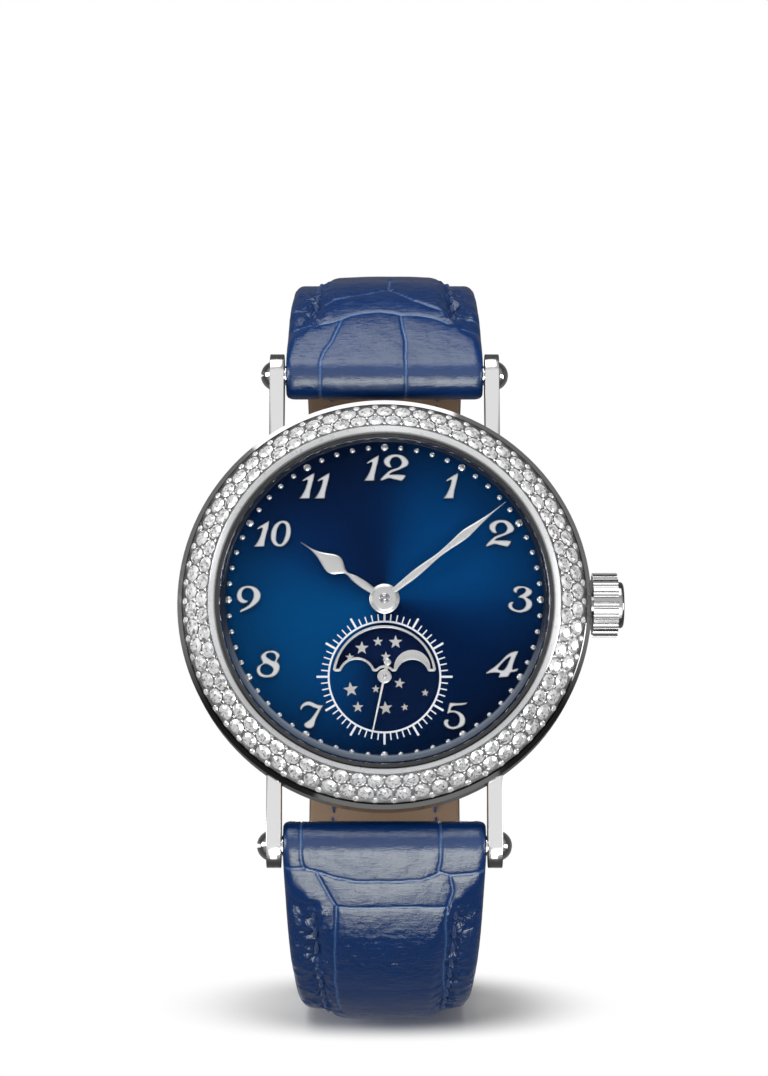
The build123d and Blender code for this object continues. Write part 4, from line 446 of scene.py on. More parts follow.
for names, mat in (
    ("case_back flange strap_bars strap_bar_screws buckle_frame buckle_bar buckle_tongue", polished),
    ("corrector_button minute_dots bezel_beads", polished),
    ("bezel_stones_inner bezel_stones_outer bezel_stones_edge", polished),
    ("hour_hand minute_hand seconds_hand moons_and_stars moon_window_rim", satin),
    ("movement_ring crown_tube bridge_screws", dark_steel),
    ("mainplate barrel_bridge train_bridge balance_cock", plate_material()),
    (
        "barrel centre_wheel third_wheel fourth_wheel minute_wheel hour_wheel balance_wheel",
        metal("wheel_brass", (0.83, 0.62, 0.33), 0.22, 0.07, 2000.0),
    ),
    (
        "escape_wheel pallet_fork ratchet_wheel crown_wheel winding_pinion stem cannon_pinion",
        metal("wheel_steel", (0.66, 0.66, 0.68), 0.2, 0.06, 2400.0),
    ),
    ("hairspring mainspring", metal("spring_steel", (0.42, 0.47, 0.62), 0.2, 0.05, 1500.0)),
    ("jewels", ruby),
    ("case_back_gasket crystal_gasket crown_gasket", rubber),
    # painted shade: the crown's metal is a darker copy of the polished metal
    ("crown", metal("crown_metal", (0.52, 0.52, 0.52), 0.17, 0.03, 1400.0, 0.02)),
    ("case_middle", painted_shade_metal("case_metal", 0.93, 0.4, 0.25, 0.9, 0.17, 0.09)),
    ("hour_numerals", painted_shade_metal("numeral_metal", 0.84, 0.04, 0.72, 0.99, 0.16, rounding=0.2)),
    ("crystal", crystal_material("clear_glass", 13.1)),
    ("back_crystal", crystal_material("back_glass", 0)),
    ("moon_disc", moon_sky),
    ("dial", dial_material()),
    ("bezel", bezel_material()),
):
    dress(names, mat)


# Strap: two padded halves in a closed loop, drawn from the side as (y, z) in millimetres
CIRCLE_Y, CIRCLE_Z, LOOP_R = 11.0, -16.4, 20.2158
BAR_Y, BAR_Z, NOSE_R, NOSE_REACH = 19.15, 2.1, 1.95, 5.6
START_ANGLE = 66.2
TAIL_R, TAIL_Z, TAIL_SLOPE, TAIL_BEND = 22.7158, -39.1158, 15.0, 12.0
INSET = 2.25
LINING_TOP, LINING_FOOT = -0.42, -1.1
STITCH_PITCH = 1.9
TOP_THINNER = 0.28
HOLES_BELOW = -35.0


def at_angle(radius, degrees, centre):
    y, z = polar(radius, radians(degrees))
    return centre[0] + y, centre[1] + z


class Route:
    """Middle line of a strap half with its outward direction, by length from the lug bar."""

    def __init__(self, points):
        self.columns = np.array(points).T
        steps = np.hypot(*np.diff(self.columns[:2]))
        self.length = np.concatenate([[0.0], np.cumsum(steps)])

    def at(self, s):
        y, z, ny, nz = (np.interp(s, self.length, column) for column in self.columns)
        size = np.hypot(ny, nz)
        return y, z, ny / size, nz / size


def arc_points(centre, radius, first, last):
    count = max(3, int(abs(last - first) * radius / 20))
    made = []
    for degrees in np.linspace(first, last, count):
        made.append((*at_angle(radius, degrees, centre), *polar(1.0, radians(degrees))))
    return made


UP_CENTRE = (CIRCLE_Y, CIRCLE_Z)
LOW_CENTRE = (-CIRCLE_Y, CIRCLE_Z)
TWELVE_END_Y = -0.2
route_twelve = Route(
    arc_points(UP_CENTRE, LOOP_R, START_ANGLE, -90.0) + [(TWELVE_END_Y, CIRCLE_Z - LOOP_R, 0.0, -1.0)]
)
slope_turn = 270.0 - TAIL_SLOPE
slope_from = at_angle(LOOP_R, slope_turn, LOW_CENTRE)
tail_slope = radians(TAIL_SLOPE)
bend_fall = TAIL_BEND * (1 - cos(tail_slope))
slope_end_y = slope_from[0] + (slope_from[1] - TAIL_Z - bend_fall) / tan(tail_slope)
bend_centre = (slope_end_y + TAIL_BEND * sin(tail_slope), TAIL_Z + TAIL_BEND)
route_six = Route(
    arc_points(LOW_CENTRE, LOOP_R, 180.0 - START_ANGLE, slope_turn)
    + arc_points(bend_centre, TAIL_BEND, slope_turn, 270.0)
    + arc_points(UP_CENTRE, TAIL_R, -90.0, -50.0)
)


def half_width(z, waist_z):
    return np.interp(z, [waist_z, BAR_Z], [7.0, 8.0])


def outer_offset(s, total, thinner=0.0):
    """Padded height over the middle line: full at the bar, easing to the plain thickness."""
    offsets = [1.95, 1.6, 0.8 - thinner, 0.7 - thinner, 0.95, 1.0]
    return np.interp(s, [0.0, 7.0, 14.0, 18.0, 41.0, total], offsets)


def thinner_of(route):
    return TOP_THINNER if route is route_twelve else 0.0


def smooth(x):
    x = np.clip(x, 0.0, 1.0)
    return x * x * (3 - 2 * x)


def photo_px(x, y, z):
    """Where the camera shows a point, in the photograph's pixels."""
    c, d = cos(VIEW_TILT), sin(VIEW_TILT)
    up = y * c + (z - DIAL_TOP) * d
    near = -y * d + (z - DIAL_TOP) * c
    scale = FOCAL_PX / (VIEW_DISTANCE * 1000.0 - near)
    return DIAL_PX[0] + x * scale, DIAL_PX[1] - up * scale


def from_photo(route, points, reach=26.0):
    """Photograph pixels on a strap half as (x, s) millimetres."""
    s = np.linspace(0.0, reach, 800)
    y, z, ny, nz = route.at(s)
    off = outer_offset(s, 60.0)
    px_x, px_y = photo_px(1.0, y + ny * off, z + nz * off)
    scale = px_x - DIAL_PX[0]
    far = int(np.argmax(np.abs(px_y - DIAL_PX[1])))
    made = []
    for at_x, at_y in points:
        i = int(np.argmin(np.abs(px_y[: far + 1] - at_y)))
        if made and s[i] < 0.2 and made[-1][1] < 0.2:
            made.pop()
        made.append(((at_x - DIAL_PX[0]) / scale[i], s[i]))
    return made


def wander(points, seed, amount=0.12, step=0.8):
    """The same line with small uneven bends, as a crease in skin has."""
    made = [points[0]]
    for (x0, s0), (x1, s1) in zip(points, points[1:]):
        count = max(1, int(hypot(x1 - x0, s1 - s0) / step))
        for k in range(1, count + 1):
            f = k / count
            x, s = x0 + (x1 - x0) * f, s0 + (s1 - s0) * f
            aside = noise.noise((x * 0.7, s * 0.7, seed))
            ahead = noise.noise((x * 0.7, s * 0.7, seed + 31.7))
            made.append((x + amount * aside, s + amount * ahead))
    return made


def line_distance(px, ps, line):
    """Distance of every grid point from a polyline."""
    best = np.full(px.shape, 99.0)
    for (x0, s0), (x1, s1) in zip(line, line[1:]):
        dx, ds = x1 - x0, s1 - s0
        size = dx * dx + ds * ds
        if size < 1e-9:
            continue
        f = np.clip(((px - x0) * dx + (ps - s0) * ds) / size, 0.0, 1.0)
        best = np.minimum(best, np.hypot(px - x0 - f * dx, ps - s0 - f * ds))
    return best


# Creases as they run in the photograph, in its pixels
TOP_CREASES = (
    ((313, 396), (316, 379), (320, 365), (324, 350), (331, 341), (336, 332), (341, 321)),
    ((407, 396), (406, 379), (405.6, 357), (405.6, 340), (403, 329), (401, 317)),
    ((390, 280), (389, 286), (389.4, 291.5)),
    (
        *((320, 324), (332, 322.5), (341, 320), (351, 316), (364, 314), (380, 313)),
        *((392, 314), (401, 316.5), (417, 316), (432, 318), (449, 322.5)),
    ),
    (
        *((325, 304), (340, 300), (357, 297.5), (372, 295), (389, 292)),
        *((402, 297.5), (414, 302.5), (430, 307.5), (449, 313)),
    ),
    ((294, 304), (305, 303), (316, 305.6)),
    ((457, 312.5), (466, 312), (478, 313)),
    ((294, 324), (304, 323), (318, 325)),
    ((462, 328), (478, 329)),
)
LOW_CREASES = (
    ((298.6, 821), (299.3, 833), (300.7, 850), (302, 861), (304, 867)),
    ((437, 823.6), (439.3, 837), (440.7, 851), (440, 861.4), (438, 871)),
    (
        *((285.7, 868.6), (304.3, 867.9), (317, 871.4), (334, 877), (355.7, 881.5), (398.6, 881.5)),
        *((420, 880), (434.3, 875.7), (440, 872), (450, 874), (470, 873.6), (486, 871)),
    ),
    ((317, 873), (324, 886), (331.4, 899), (336.4, 906)),
    ((450, 876), (452, 890), (448, 905.7)),
    ((336.4, 905.7), (350, 906), (370, 906.4), (407, 905.7), (428, 906), (447.9, 906)),
    ((336.4, 906.4), (335, 928.6), (335, 950), (335.7, 978.6), (337.9, 997), (341, 1008)),
    ((447.9, 905.7), (445.7, 921), (445.7, 943), (443.6, 971), (443.6, 993), (445, 1006)),
)


def creases(route, drawn, seed, total, drawn_reach):
    """Drawn creases in the photographed stretch, then rows of large scales to the end: (line, width)."""
    lines = [(wander(from_photo(route, pts), seed + i * 3.1), 1.0) for i, pts in enumerate(drawn)]
    rng = random.Random(seed)
    s = drawn_reach
    while s < total - 3.0:
        lift = rng.uniform(-0.5, 0.5)
        row = [(-5.2, s + lift)]
        for x in (-2.5, 0.4, 3.0):
            row.append((x, s + rng.uniform(-0.4, 0.4)))
        row.append((5.2, s - lift))
        lines.append((wander(row, seed + s, 0.3), 1.0))
        # the choice between two uprights and one is drawn first, then their places
        if rng.random() < 0.6:
            uprights = (rng.uniform(-3.6, -2.4), rng.uniform(1.0, 2.6))
        else:
            uprights = (rng.uniform(-0.8, 0.8),)
        for x in uprights:
            upright = [(x, s + 0.2), (x + rng.uniform(-0.4, 0.4), s + 6.2)]
            lines.append((wander(upright, seed + s + x, 0.25), 0.8))
        for side in (-1, 1):
            at = s + rng.uniform(0.0, 2.0)
            for _ in range(2):
                short = [(side * 5.0, at), (side * 7.4, at + rng.uniform(-0.6, 0.6))]
                lines.append((wander(short, seed + at, 0.25), 0.6))
                at += rng.uniform(2.2, 3.4)
        s += rng.uniform(5.6, 7.4)
    return lines


def fbm(px, ps, scale, seed, octaves=3):
    """Smooth value noise on the unrolled skin, from sums of turned sines."""
    total = np.zeros_like(px)
    rng = random.Random(seed)
    weight = 0.0
    for octave in range(octaves):
        f = scale * 1.9**octave
        layer = np.zeros_like(px)
        for _ in range(6):
            a = rng.uniform(0, tau)
            k = f * rng.uniform(0.6, 1.5)
            layer += np.sin((px * cos(a) + ps * sin(a)) * k + rng.uniform(0, tau))
        total += layer / 6 / 1.5**octave
        weight += 1 / 1.5**octave
    return total / weight


def gauss(value, width):
    return np.exp(-((value / width) ** 2))


def skin_relief(px, ps, path, width, centre, lines, total, seed):
    """Height of the leather over the middle line, with its crease marks and the mask of its rough margins,
    with which the leather material also paints glints.
    """
    edge = width - np.abs(px)
    # shoulders: full height across the bar, drawing in to a raised middle between the stitch rows
    shoulder = 2.7 * smooth((path - 1.2) / 6.0)
    raised = smooth((edge - shoulder + 0.9) / 2.1)
    fade = 1.0 - 0.75 * smooth((path - 30.0) / 14.0)
    margin = centre - (0.62 * fade + 0.08) * smooth((path - 0.4) / 4.5)
    crown = 0.4 * (1 - (px / width) ** 2) * fade * smooth((path - 1.0) / 7.0)
    height = margin + (centre - margin) * raised + crown
    # stitch groove with a pucker at each stitch
    groove = gauss(edge - INSET, 0.42) * smooth((path - 3.4) / 1.5) * smooth((total - 1.2 - path) / 0.6)
    pucker = 0.5 + 0.5 * np.cos(path * tau / STITCH_PITCH)
    height -= groove * (0.1 + 0.2 * pucker)
    near_stitch = gauss(edge - INSET, 0.95) * smooth((path - 3.6) / 1.2)
    lumps = 0.5 * fbm(px, path, 2.0, seed + 5, 3) + 0.34 * np.abs(fbm(px, path, 3.2, seed + 6, 2))
    height += near_stitch * lumps
    in_margin = smooth((INSET + 0.9 - edge) / 1.4) * smooth((path - 3.2) / 1.6)
    lumps = 0.34 * fbm(px * 0.8, path, 1.1, seed + 9, 3) - 0.24 * np.abs(fbm(px, path, 1.8, seed + 8, 2))
    height += in_margin * lumps
    # creases between the scales, each scale swelling a little towards its middle
    mark = np.zeros_like(px)
    swell = np.full(px.shape, 9.0)
    for line, strength in lines:
        d = line_distance(px, path, line)
        mark = np.maximum(mark, gauss(d, 0.065) * strength)
        height -= 0.07 * gauss(d, 0.1) * strength
        swell = np.minimum(swell, d / strength)
    height -= 0.07 * np.exp(-swell / 0.4) * (smooth(path) * 0.6 + 0.4)
    mark *= smooth(ps + 4.0)
    height += 0.07 * fbm(px, path, 0.8, seed + 2, 2) * smooth(path / 3.0)
    height += 0.004 * fbm(px * 0.6, path * 1.6, 4.2, seed + 3, 2)
    # fine cross wrinkles beside the first creases
    wrinkle = gauss(path - 9.2, 2.6) * smooth((edge - 1.5) / 2.0)
    height -= wrinkle * 0.2 * np.abs(fbm(px * 0.4, path, 3.4, seed + 12, 3))
    height = np.maximum(height, LINING_TOP + 0.42)
    # rounded side edges
    lip = np.clip(edge / 0.75, 0.0, 1.0)
    height -= (1.0 - np.sqrt(1.0 - (1.0 - lip) ** 2)) * (0.35 + 0.4 * smooth(path / 3.0))
    tip = smooth((total - path) / 0.8)
    height = height * tip + (LINING_TOP + 0.3) * (1 - tip)
    # mask of the rough margins by the stitches and wrinkles; it also carries painted glints in the leather
    # material
    rough_margin_and_glint = np.clip(np.maximum(near_stitch * 0.9, in_margin * 0.7) + wrinkle * 0.5, 0, 1)
    return height, mark, rough_margin_and_glint


def strap_piece(name, route, drawn, waist_z, seed, drawn_reach, holes=()):
    total = float(route.length[-1])
    step = 0.1
    near = 27.0
    along = np.concatenate([np.arange(-NOSE_REACH, near, step), np.arange(near, total, step * 2.6), [total]])
    ps, pv = np.meshgrid(along, np.linspace(-1.0, 1.0, int(16.0 / step)), indexing="ij")
    path = np.clip(ps, 0.0, None)
    y, z, ny, nz = route.at(path)
    width = half_width(z, waist_z)
    px = pv * width
    centre = outer_offset(path, total, thinner_of(route))
    lines = creases(route, drawn, seed, total, drawn_reach)
    height, mark, rough_margin_and_glint = skin_relief(px, ps, path, width, centre, lines, total, seed)
    # the nose turns round the lug bar
    sign = 1.0 if route is route_twelve else -1.0
    turn = np.clip(-ps / NOSE_REACH, 0.0, 1.0) * radians(172.0)
    ang = atan2(float(nz[0, 0]), float(ny[0, 0])) + sign * turn
    on_nose = ps < 0

    def placed(nose_radius, lift, pick):
        bar = (BAR_Y * sign + nose_radius * np.cos(ang))[pick], (BAR_Z + nose_radius * np.sin(ang))[pick]
        loop = (y + ny * lift)[pick], (z + nz * lift)[pick]
        return [np.where(on_nose[pick], at_bar, at_loop) for at_bar, at_loop in zip(bar, loop)]

    rows, cols = px.shape
    skin_count = rows * cols
    skin = placed(NOSE_R + (height - centre), height, np.s_[:, :])
    # the sides run down to the lining
    foot = placed(0.4, LINING_FOOT + 0.12, np.s_[:, 0])
    sides = [np.stack([px[:, column] * 0.997, *foot], -1) for column in (0, -1)]
    verts = np.concatenate([np.stack([px, *skin], -1).reshape(-1, 3), *sides])
    grid = np.arange(skin_count).reshape(rows, cols)
    quads = np.stack([grid[:-1, :-1], grid[1:, :-1], grid[1:, 1:], grid[:-1, 1:]], -1).reshape(-1, 4)
    if sign > 0:
        quads = quads[:, ::-1]
    for start, column, flip in ((skin_count, grid[:, 0], False), (skin_count + rows, grid[:, -1], True)):
        base = np.arange(start, start + rows)
        wall = np.stack([column[:-1], column[1:], base[1:], base[:-1]], -1)
        if flip == (sign > 0):
            wall = wall[:, ::-1]
        quads = np.concatenate([quads, wall])
    mid_x, mid_y, mid_z = verts[quads].mean(1).T
    keep = np.ones(len(quads), bool)
    for hole_y, half_x, half_y in holes:
        inside = (mid_x / half_x) ** 2 + ((mid_y - hole_y) / half_y) ** 2 < 1.0
        keep &= ~(inside & (mid_z < HOLES_BELOW))
    mesh = bpy.data.meshes.new(name)
    mesh.from_pydata((verts * MM).tolist(), [], quads[keep].tolist())
    for label, on_skin, on_sides in (("crease", mark, 0.0), ("rough_margin_and_glint", rough_margin_and_glint, 0.4)):
        values = np.full(len(verts), on_sides, np.float32)
        values[:skin_count] = on_skin.reshape(-1)
        mesh.attributes.new(label, "FLOAT", "POINT").data.foreach_set("value", values)
    layer = mesh.uv_layers.new(name="skin")
    loops = np.zeros(len(mesh.loops), np.int32)
    mesh.loops.foreach_get("vertex_index", loops)
    flat = np.zeros((len(verts), 2))
    flat[:skin_count] = np.stack([px, ps], -1).reshape(-1, 2) * 0.1
    flat[skin_count:, 0] = np.repeat([-0.9, 0.9], rows)
    flat[skin_count:, 1] = np.tile(along * 0.1, 2)
    layer.data.foreach_set("uv", flat[loops].reshape(-1))
    mesh.polygons.foreach_set("use_smooth", [True] * len(mesh.polygons))
    mesh.update()
    return new_object(name, mesh)


def leather_material():
    """Glossy dyed skin: pale dye in the creases, dull crinkled margins with painted glints and a darker
    tone, fine pores.
    """
    g = material("strap_leather")
    vector = g.mapping(source="UV")
    crease = g.attribute("crease")
    rough_margin_and_glint = g.attribute("rough_margin_and_glint")
    cloud = g.grain(vector, 2.2, 4.0, 0.6)
    pores = g.grain(g.mapping((1.0, 2.2, 1), "UV"), 60.0, 5.0, 0.65)
    cracks = g.texture(
        "ShaderNodeTexVoronoi", g.mapping((1.6, 1, 1), "UV"), 13.0, feature="DISTANCE_TO_EDGE"
    )["Distance"]
    base = g.mix(cloud, (0.002, 0.021, 0.098), (0.004, 0.035, 0.15))
    pale = g.mix(pores, (0.03, 0.11, 0.32), (0.12, 0.26, 0.55))
    colour = g.mix(g.mul(crease, g.span(pores, 0.3, 0.62, 0.35, 1.0)), base, pale)
    # painted glints: pale patches in the rough margins
    glint_patches = g.mul(rough_margin_and_glint, g.span(pores, 0.5, 0.72))
    colour = g.mix(g.mul(glint_patches, 0.5), colour, (0.05, 0.13, 0.34))
    # darker in the rough margins
    colour = g.mix(g.mul(rough_margin_and_glint, 0.25), colour, (0.002, 0.012, 0.055))
    rough = g.add(g.span(pores, 0.3, 0.7, 0.07, 0.15), g.mul(rough_margin_and_glint, 0.12))
    g.put(
        Base_Color=colour,
        Roughness=g.add(rough, g.mul(crease, 0.15)),
        Specular_IOR_Level=0.9,
        Specular_Tint=(0.95, 0.98, 0.86),
    )
    cracked = g.mul(g.mul(g.span(cracks, 0.0, 0.12), rough_margin_and_glint), 0.5)
    fibres = g.grain(g.mapping((0.3, 1.7, 1), "UV"), 24.0, 5.0, 0.6)
    patches = g.span(g.grain(vector, 7.0, 3.0, 0.5), 0.42, 0.6, 0.25, 1.0)
    fine = g.add(g.add(g.mul(pores, 0.35), cracked), g.mul(g.mul(fibres, patches), 0.9))
    g.bump(fine, 0.5, 0.0001)
    return g.owner


def lining_material():
    g = material("strap_lining")
    vector = g.mapping()
    tone = g.mix(g.grain(vector, 250.0), (0.19, 0.125, 0.08), (0.29, 0.2, 0.135))
    pits = g.texture("ShaderNodeTexVoronoi", vector, 4200.0, feature="F1")["Distance"]
    g.put(Base_Color=tone, Roughness=0.62, Specular_IOR_Level=0.3)
    g.bump(pits, 0.3, 0.00003)
    return g.owner


def thread_material():
    g = material("strap_thread")
    twist = g.texture(
        "ShaderNodeTexWave", g.mapping(), 2400.0, wave_type="BANDS", bands_direction="DIAGONAL"
    )["Fac"]
    tone = g.mix(twist, (0.004, 0.02, 0.085), (0.01, 0.05, 0.19))
    g.put(Base_Color=tone, Roughness=0.5, Sheen_Weight=0.2)
    g.bump(twist, 0.5, 0.00003)
    return g.owner


leather = leather_material()
lining = lining_material()
thread = thread_material()
# Openings for the tongue: (y, half length across, half length along)
TONGUE_HOLES = ((-2.325, 1.0, 2.35), (3.875, 0.9, 0.9), (10.075, 0.9, 0.9))


def lining_piece(name, route, waist_z, holes=()):
    """Band of lining with eased edges on the inner side of a half."""
    total = float(route.length[-1])
    along = np.linspace(1.6, total - 0.2, int(total / 0.5))
    if holes:
        along = np.arange(1.6, total - 0.2, 0.16)
    flat = [(float(x), -0.7) for x in np.linspace(-0.6, 0.6, 61 if holes else 3)]
    side = [(-1.0, 0.0), (-1.0, -0.5), (-0.985, -0.66), (-0.95, -0.69)]
    section = side + flat + [(-x, off) for x, off in reversed(side)]
    verts, faces = [], []
    for s in along:
        y, z, ny, nz = (float(v) for v in route.at(s))
        w = float(half_width(z, waist_z)) - 0.06
        for x, off in section:
            h = -0.4 + off
            verts.append((x * w, y + ny * h, z + nz * h))
    n = len(section)
    for i in range(len(along) - 1):
        for k in range(n - 1):
            a = i * n + k
            x, y, z = verts[a]
            cut = any((x / half_x) ** 2 + ((y - at_y) / half_y) ** 2 < 1.0 for at_y, half_x, half_y in holes)
            if not (cut and z < HOLES_BELOW):
                faces.append((a, a + 1, a + n + 1, a + n))
    return mesh_object(name, verts, faces)


def stitches(name, route, waist_z, start, stop, inner):
    """Rows of short thread stitches along both edges."""
    verts, faces = [], []
    ring, spans = 8, 7
    total = float(route.length[-1])
    for side in (-1, 1):
        for i in range(int((stop - start) / STITCH_PITCH)):
            s0 = start + (i + 0.5) * STITCH_PITCH
            base = len(verts)
            for k in range(spans):
                f = k / (spans - 1)
                s = s0 + (f - 0.5) * 1.45
                y, z, ny, nz = (float(q) for q in route.at(s))
                w = float(half_width(z, waist_z))
                lift = sin(pi * f)
                r = 0.17 * sqrt(max(0.06, sin(pi * (0.08 + 0.84 * f))))
                if inner:
                    h = LINING_FOOT - 0.1 * lift
                else:
                    fade = 1.0 - 0.75 * float(smooth(np.array((s - 30.0) / 14.0)))
                    h = float(outer_offset(s, total, thinner_of(route)))
                    h += -0.6 * (0.55 * fade + 0.08) - 0.2 + 0.2 * lift
                x = side * (w - INSET + 0.12 * (f - 0.5))
                for j in range(ring):
                    aside, up = polar(r, tau * j / ring)
                    verts.append((x + aside, y + ny * (h + up), z + nz * (h + up)))
            ring_faces(faces, base, spans, ring, flip=True)
            faces.append(tuple(base + j for j in reversed(range(ring))))
            faces.append(tuple(base + (spans - 1) * ring + j for j in range(ring)))
    return mesh_object(name, verts, faces)


WAIST_TWELVE, WAIST_SIX = CIRCLE_Z - LOOP_R, CIRCLE_Z
twelve = strap_piece("strap_half_twelve", route_twelve, TOP_CREASES, WAIST_TWELVE, 11, 24.0)
six = strap_piece("strap_half_six", route_six, LOW_CREASES, WAIST_SIX, 23, 27.0, TONGUE_HOLES)
install(twelve, leather, "case", "strap_twelve")
install(six, leather, "case", "strap_six")
lining_twelve = lining_piece("lining_twelve", route_twelve, WAIST_TWELVE)
lining_six = lining_piece("lining_six", route_six, WAIST_SIX, TONGUE_HOLES)
install(lining_twelve, lining, "case", "strap_twelve_lining")
install(lining_six, lining, "case", "strap_six_lining")
for name, route, waist, start, stop, inner in (
    ("stitches_twelve", route_twelve, WAIST_TWELVE, 4.2, 58.0, False),
    ("stitches_six", route_six, WAIST_SIX, 4.2, float(route_six.length[-1]) - 2.4, False),
    ("inner_stitches_twelve", route_twelve, WAIST_TWELVE, 5.0, 50.4, True),
    ("inner_stitches_six", route_six, WAIST_SIX, 5.0, 60.0, True),
):
    install(stitches(name, route, waist, start, stop, inner), thread, "case")


def keeper_piece(name, node_name, body):
    """Flat leather loop with eased edges round both halves."""
    low, high = (np.array(corner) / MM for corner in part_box(node_name))
    mid_y, mid_z = (low[1:] + high[1:]) / 2
    wall = corner = 0.9
    reach_x, reach_z = (high[0] - low[0]) / 2 - corner, (high[2] - low[2]) / 2 - corner
    half = [(-1.5, -wall + 0.06), (-1.5, -0.25), (-1.42, -0.09), (-1.25, -0.02), (-0.6, 0.0)]
    profile = half + [(0.0, 0.0)] + [(-y, h) for y, h in reversed(half)]
    verts, faces = [], []
    for cx, cz, first in (
        (reach_x, reach_z, 0),
        (-reach_x, reach_z, 90),
        (-reach_x, -reach_z, 180),
        (reach_x, -reach_z, 270),
    ):
        for k in range(7):
            a = radians(first + k * 15)
            for dy, h in profile:
                x, z = polar(corner + h, a)
                verts.append((cx + x, mid_y + dy, mid_z + cz + z))
    n = len(profile)
    m = len(verts) // n
    for i in range(m):
        for k in range(n):
            a, b = i * n, (i + 1) % m * n
            up = (k + 1) % n
            faces.append((a + k, b + k, b + up, a + up))
    obj = mesh_object(name, verts, faces)
    # the keepers take a little of the margins' roughness and painted glints
    rough_margin_and_glint = obj.data.attributes.new("rough_margin_and_glint", "FLOAT", "POINT")
    rough_margin_and_glint.data.foreach_set("value", [0.25] * len(obj.data.vertices))
    layer = obj.data.uv_layers.new(name="skin")
    for loop in obj.data.loops:
        p = obj.data.vertices[loop.vertex_index].co / MM
        layer.data[loop.index].uv = ((p.x + p.z) * 0.1, p.y * 0.1)
    install(obj, leather, body, node_name)


keeper_piece("keeper_fixed", "fixed_keeper", "case")
keeper_piece("keeper_free", "free_keeper", "keeper")


# Bezel stones: brilliants with all their facets, each facet with its own painted reflection, light or dark
CREST_R, CREST_Z = 13.9, 6.7
FOOT_R, FOOT_Z = 16.15, 4.65
slope = Vector((FOOT_R - CREST_R, FOOT_Z - CREST_Z)).normalized()
STONE_COUNT = 66


def on_slope(place, number):
    """Point and directions on the bezel's slope: along the ring, down the slope, out of it."""
    a = radians(number * 360 / STONE_COUNT)
    r, z = CREST_R + slope.x * place, CREST_Z + slope.y * place
    radial = Vector((*polar(1.0, a), 0.0))
    down = radial * slope.x + Vector((0.0, 0.0, slope.y))
    out = radial * -slope.y + Vector((0.0, 0.0, slope.x))
    return Vector((*polar(r, a), z)), Vector((-sin(a), cos(a), 0.0)), down, out


def brilliant(radius, crown, base):
    """Facets of a round brilliant seen from above, as rings of (radius share, height, turn in 16ths)."""
    table, star_share = 0.57, 0.79
    rings = [
        [(0.30 * radius, crown, k) for k in range(16)],
        [((table if k % 2 == 0 else table * 0.925) * radius, crown, k) for k in range(16)],
        [(star_share * radius, base + (crown - base) * 0.6, k) for k in range(1, 16, 2)],
        [(radius, base + 0.04, k) for k in range(16)],
        [(radius, base, k) for k in range(16)],
    ]
    verts, start = [(0.0, 0.0, crown)], []
    for ring in rings:
        start.append(len(verts))
        for r, h, k in ring:
            verts.append((*polar(r, tau * k / 16), h))
    inner, rim, mid, girdle, foot = start
    faces = []
    for k in range(16):
        n = (k + 1) % 16
        faces.append((0, inner + k, inner + n))
        faces.append((inner + k, rim + k, rim + n, inner + n))
        faces.append((girdle + k, foot + k, foot + n, girdle + n))
    for k in range(8):
        n = (k + 1) % 8
        here, between, ahead = 2 * k, 2 * k + 1, (2 * k + 2) % 16
        faces.append((rim + here, mid + k, rim + ahead, rim + between))
        faces.append((rim + ahead, mid + k, girdle + ahead, mid + n))
        faces.append((mid + k, girdle + between, girdle + ahead))
        faces.append((mid + k, girdle + here, girdle + between))
    return verts, faces


def stone_material():
    """White stone: each facet painted light or dark as a painted reflection of the cut, with a sharp gloss
    and a faint painted glow.
    """
    g = material("stone")
    grain = g.grain(g.mapping(), 2600.0, 2.0)
    mottle = g.mul(g.math("SUBTRACT", grain, 0.5), 0.35)
    mixed = g.math("ADD", g.attribute("tone"), mottle, clamp=True)
    colour = g.ramp(mixed, [(0.0, grey(0.12)), (0.3, grey(0.42)), (0.6, grey(0.74)), (1.0, grey(0.97))])
    g.put(
        Base_Color=colour,
        Metallic=0.4,
        Roughness=g.span(grain, 0.3, 0.7, 0.08, 0.16),
        Specular_IOR_Level=1.0,
        Coat_Weight=0.5,
        Coat_Roughness=0.03,
        # painted glow: the stone's colour also shines a little
        Emission_Color=colour,
        Emission_Strength=0.1,
    )
    return g.owner


stone = stone_material()


def stone_row(name, node_name, place, share, radius, crown, base, seed):
    rng = random.Random(seed)
    shape, facets = brilliant(radius, crown, base)
    verts, faces, tones = [], [], []
    for number in range(STONE_COUNT):
        point, tangent, down, out = on_slope(place, number + share)
        spin = rng.uniform(0, tau)
        tip = Vector((rng.uniform(-0.03, 0.03), rng.uniform(-0.03, 0.03)))
        start = len(verts)
        for x, y, h in shape:
            u = x * cos(spin) - y * sin(spin)
            v = x * sin(spin) + y * cos(spin)
            p = point + tangent * u + down * v + out * (h - max(0.0, tip.x * u + tip.y * v) * 0.3)
            verts.append(tuple(p))
        faces += [tuple(start + i for i in face) for face in facets]
        # painted reflection: a random brightness for each facet
        for i in range(len(facets)):
            bright = (0.15, 0.5, 0.7, 0.85, 1.0, 1.0) if i % 3 < 2 else (0.35, 0.8, 1.0)
            tones.append(rng.choice(bright))
    obj = mesh_object(name, verts, faces, smooth=False)
    obj.data.attributes.new("tone", "FLOAT", "FACE").data.foreach_set("value", tones)
    install(obj, stone, "case", node_name)


STONE_BASE = 0.01
STONE_R, STONE_CROWN = 0.63, 0.2 - STONE_BASE
stone_row("stones_inner", "bezel_stones_inner", 0.78, 0.0, STONE_R, STONE_CROWN, -STONE_BASE, 3)
stone_row("stones_outer", "bezel_stones_outer", 1.98, 0.5, STONE_R, STONE_CROWN, -STONE_BASE, 4)
stone_row("stones_edge", "bezel_stones_edge", 2.62, 0.0, 0.25, 0.1, 0.0, 5)


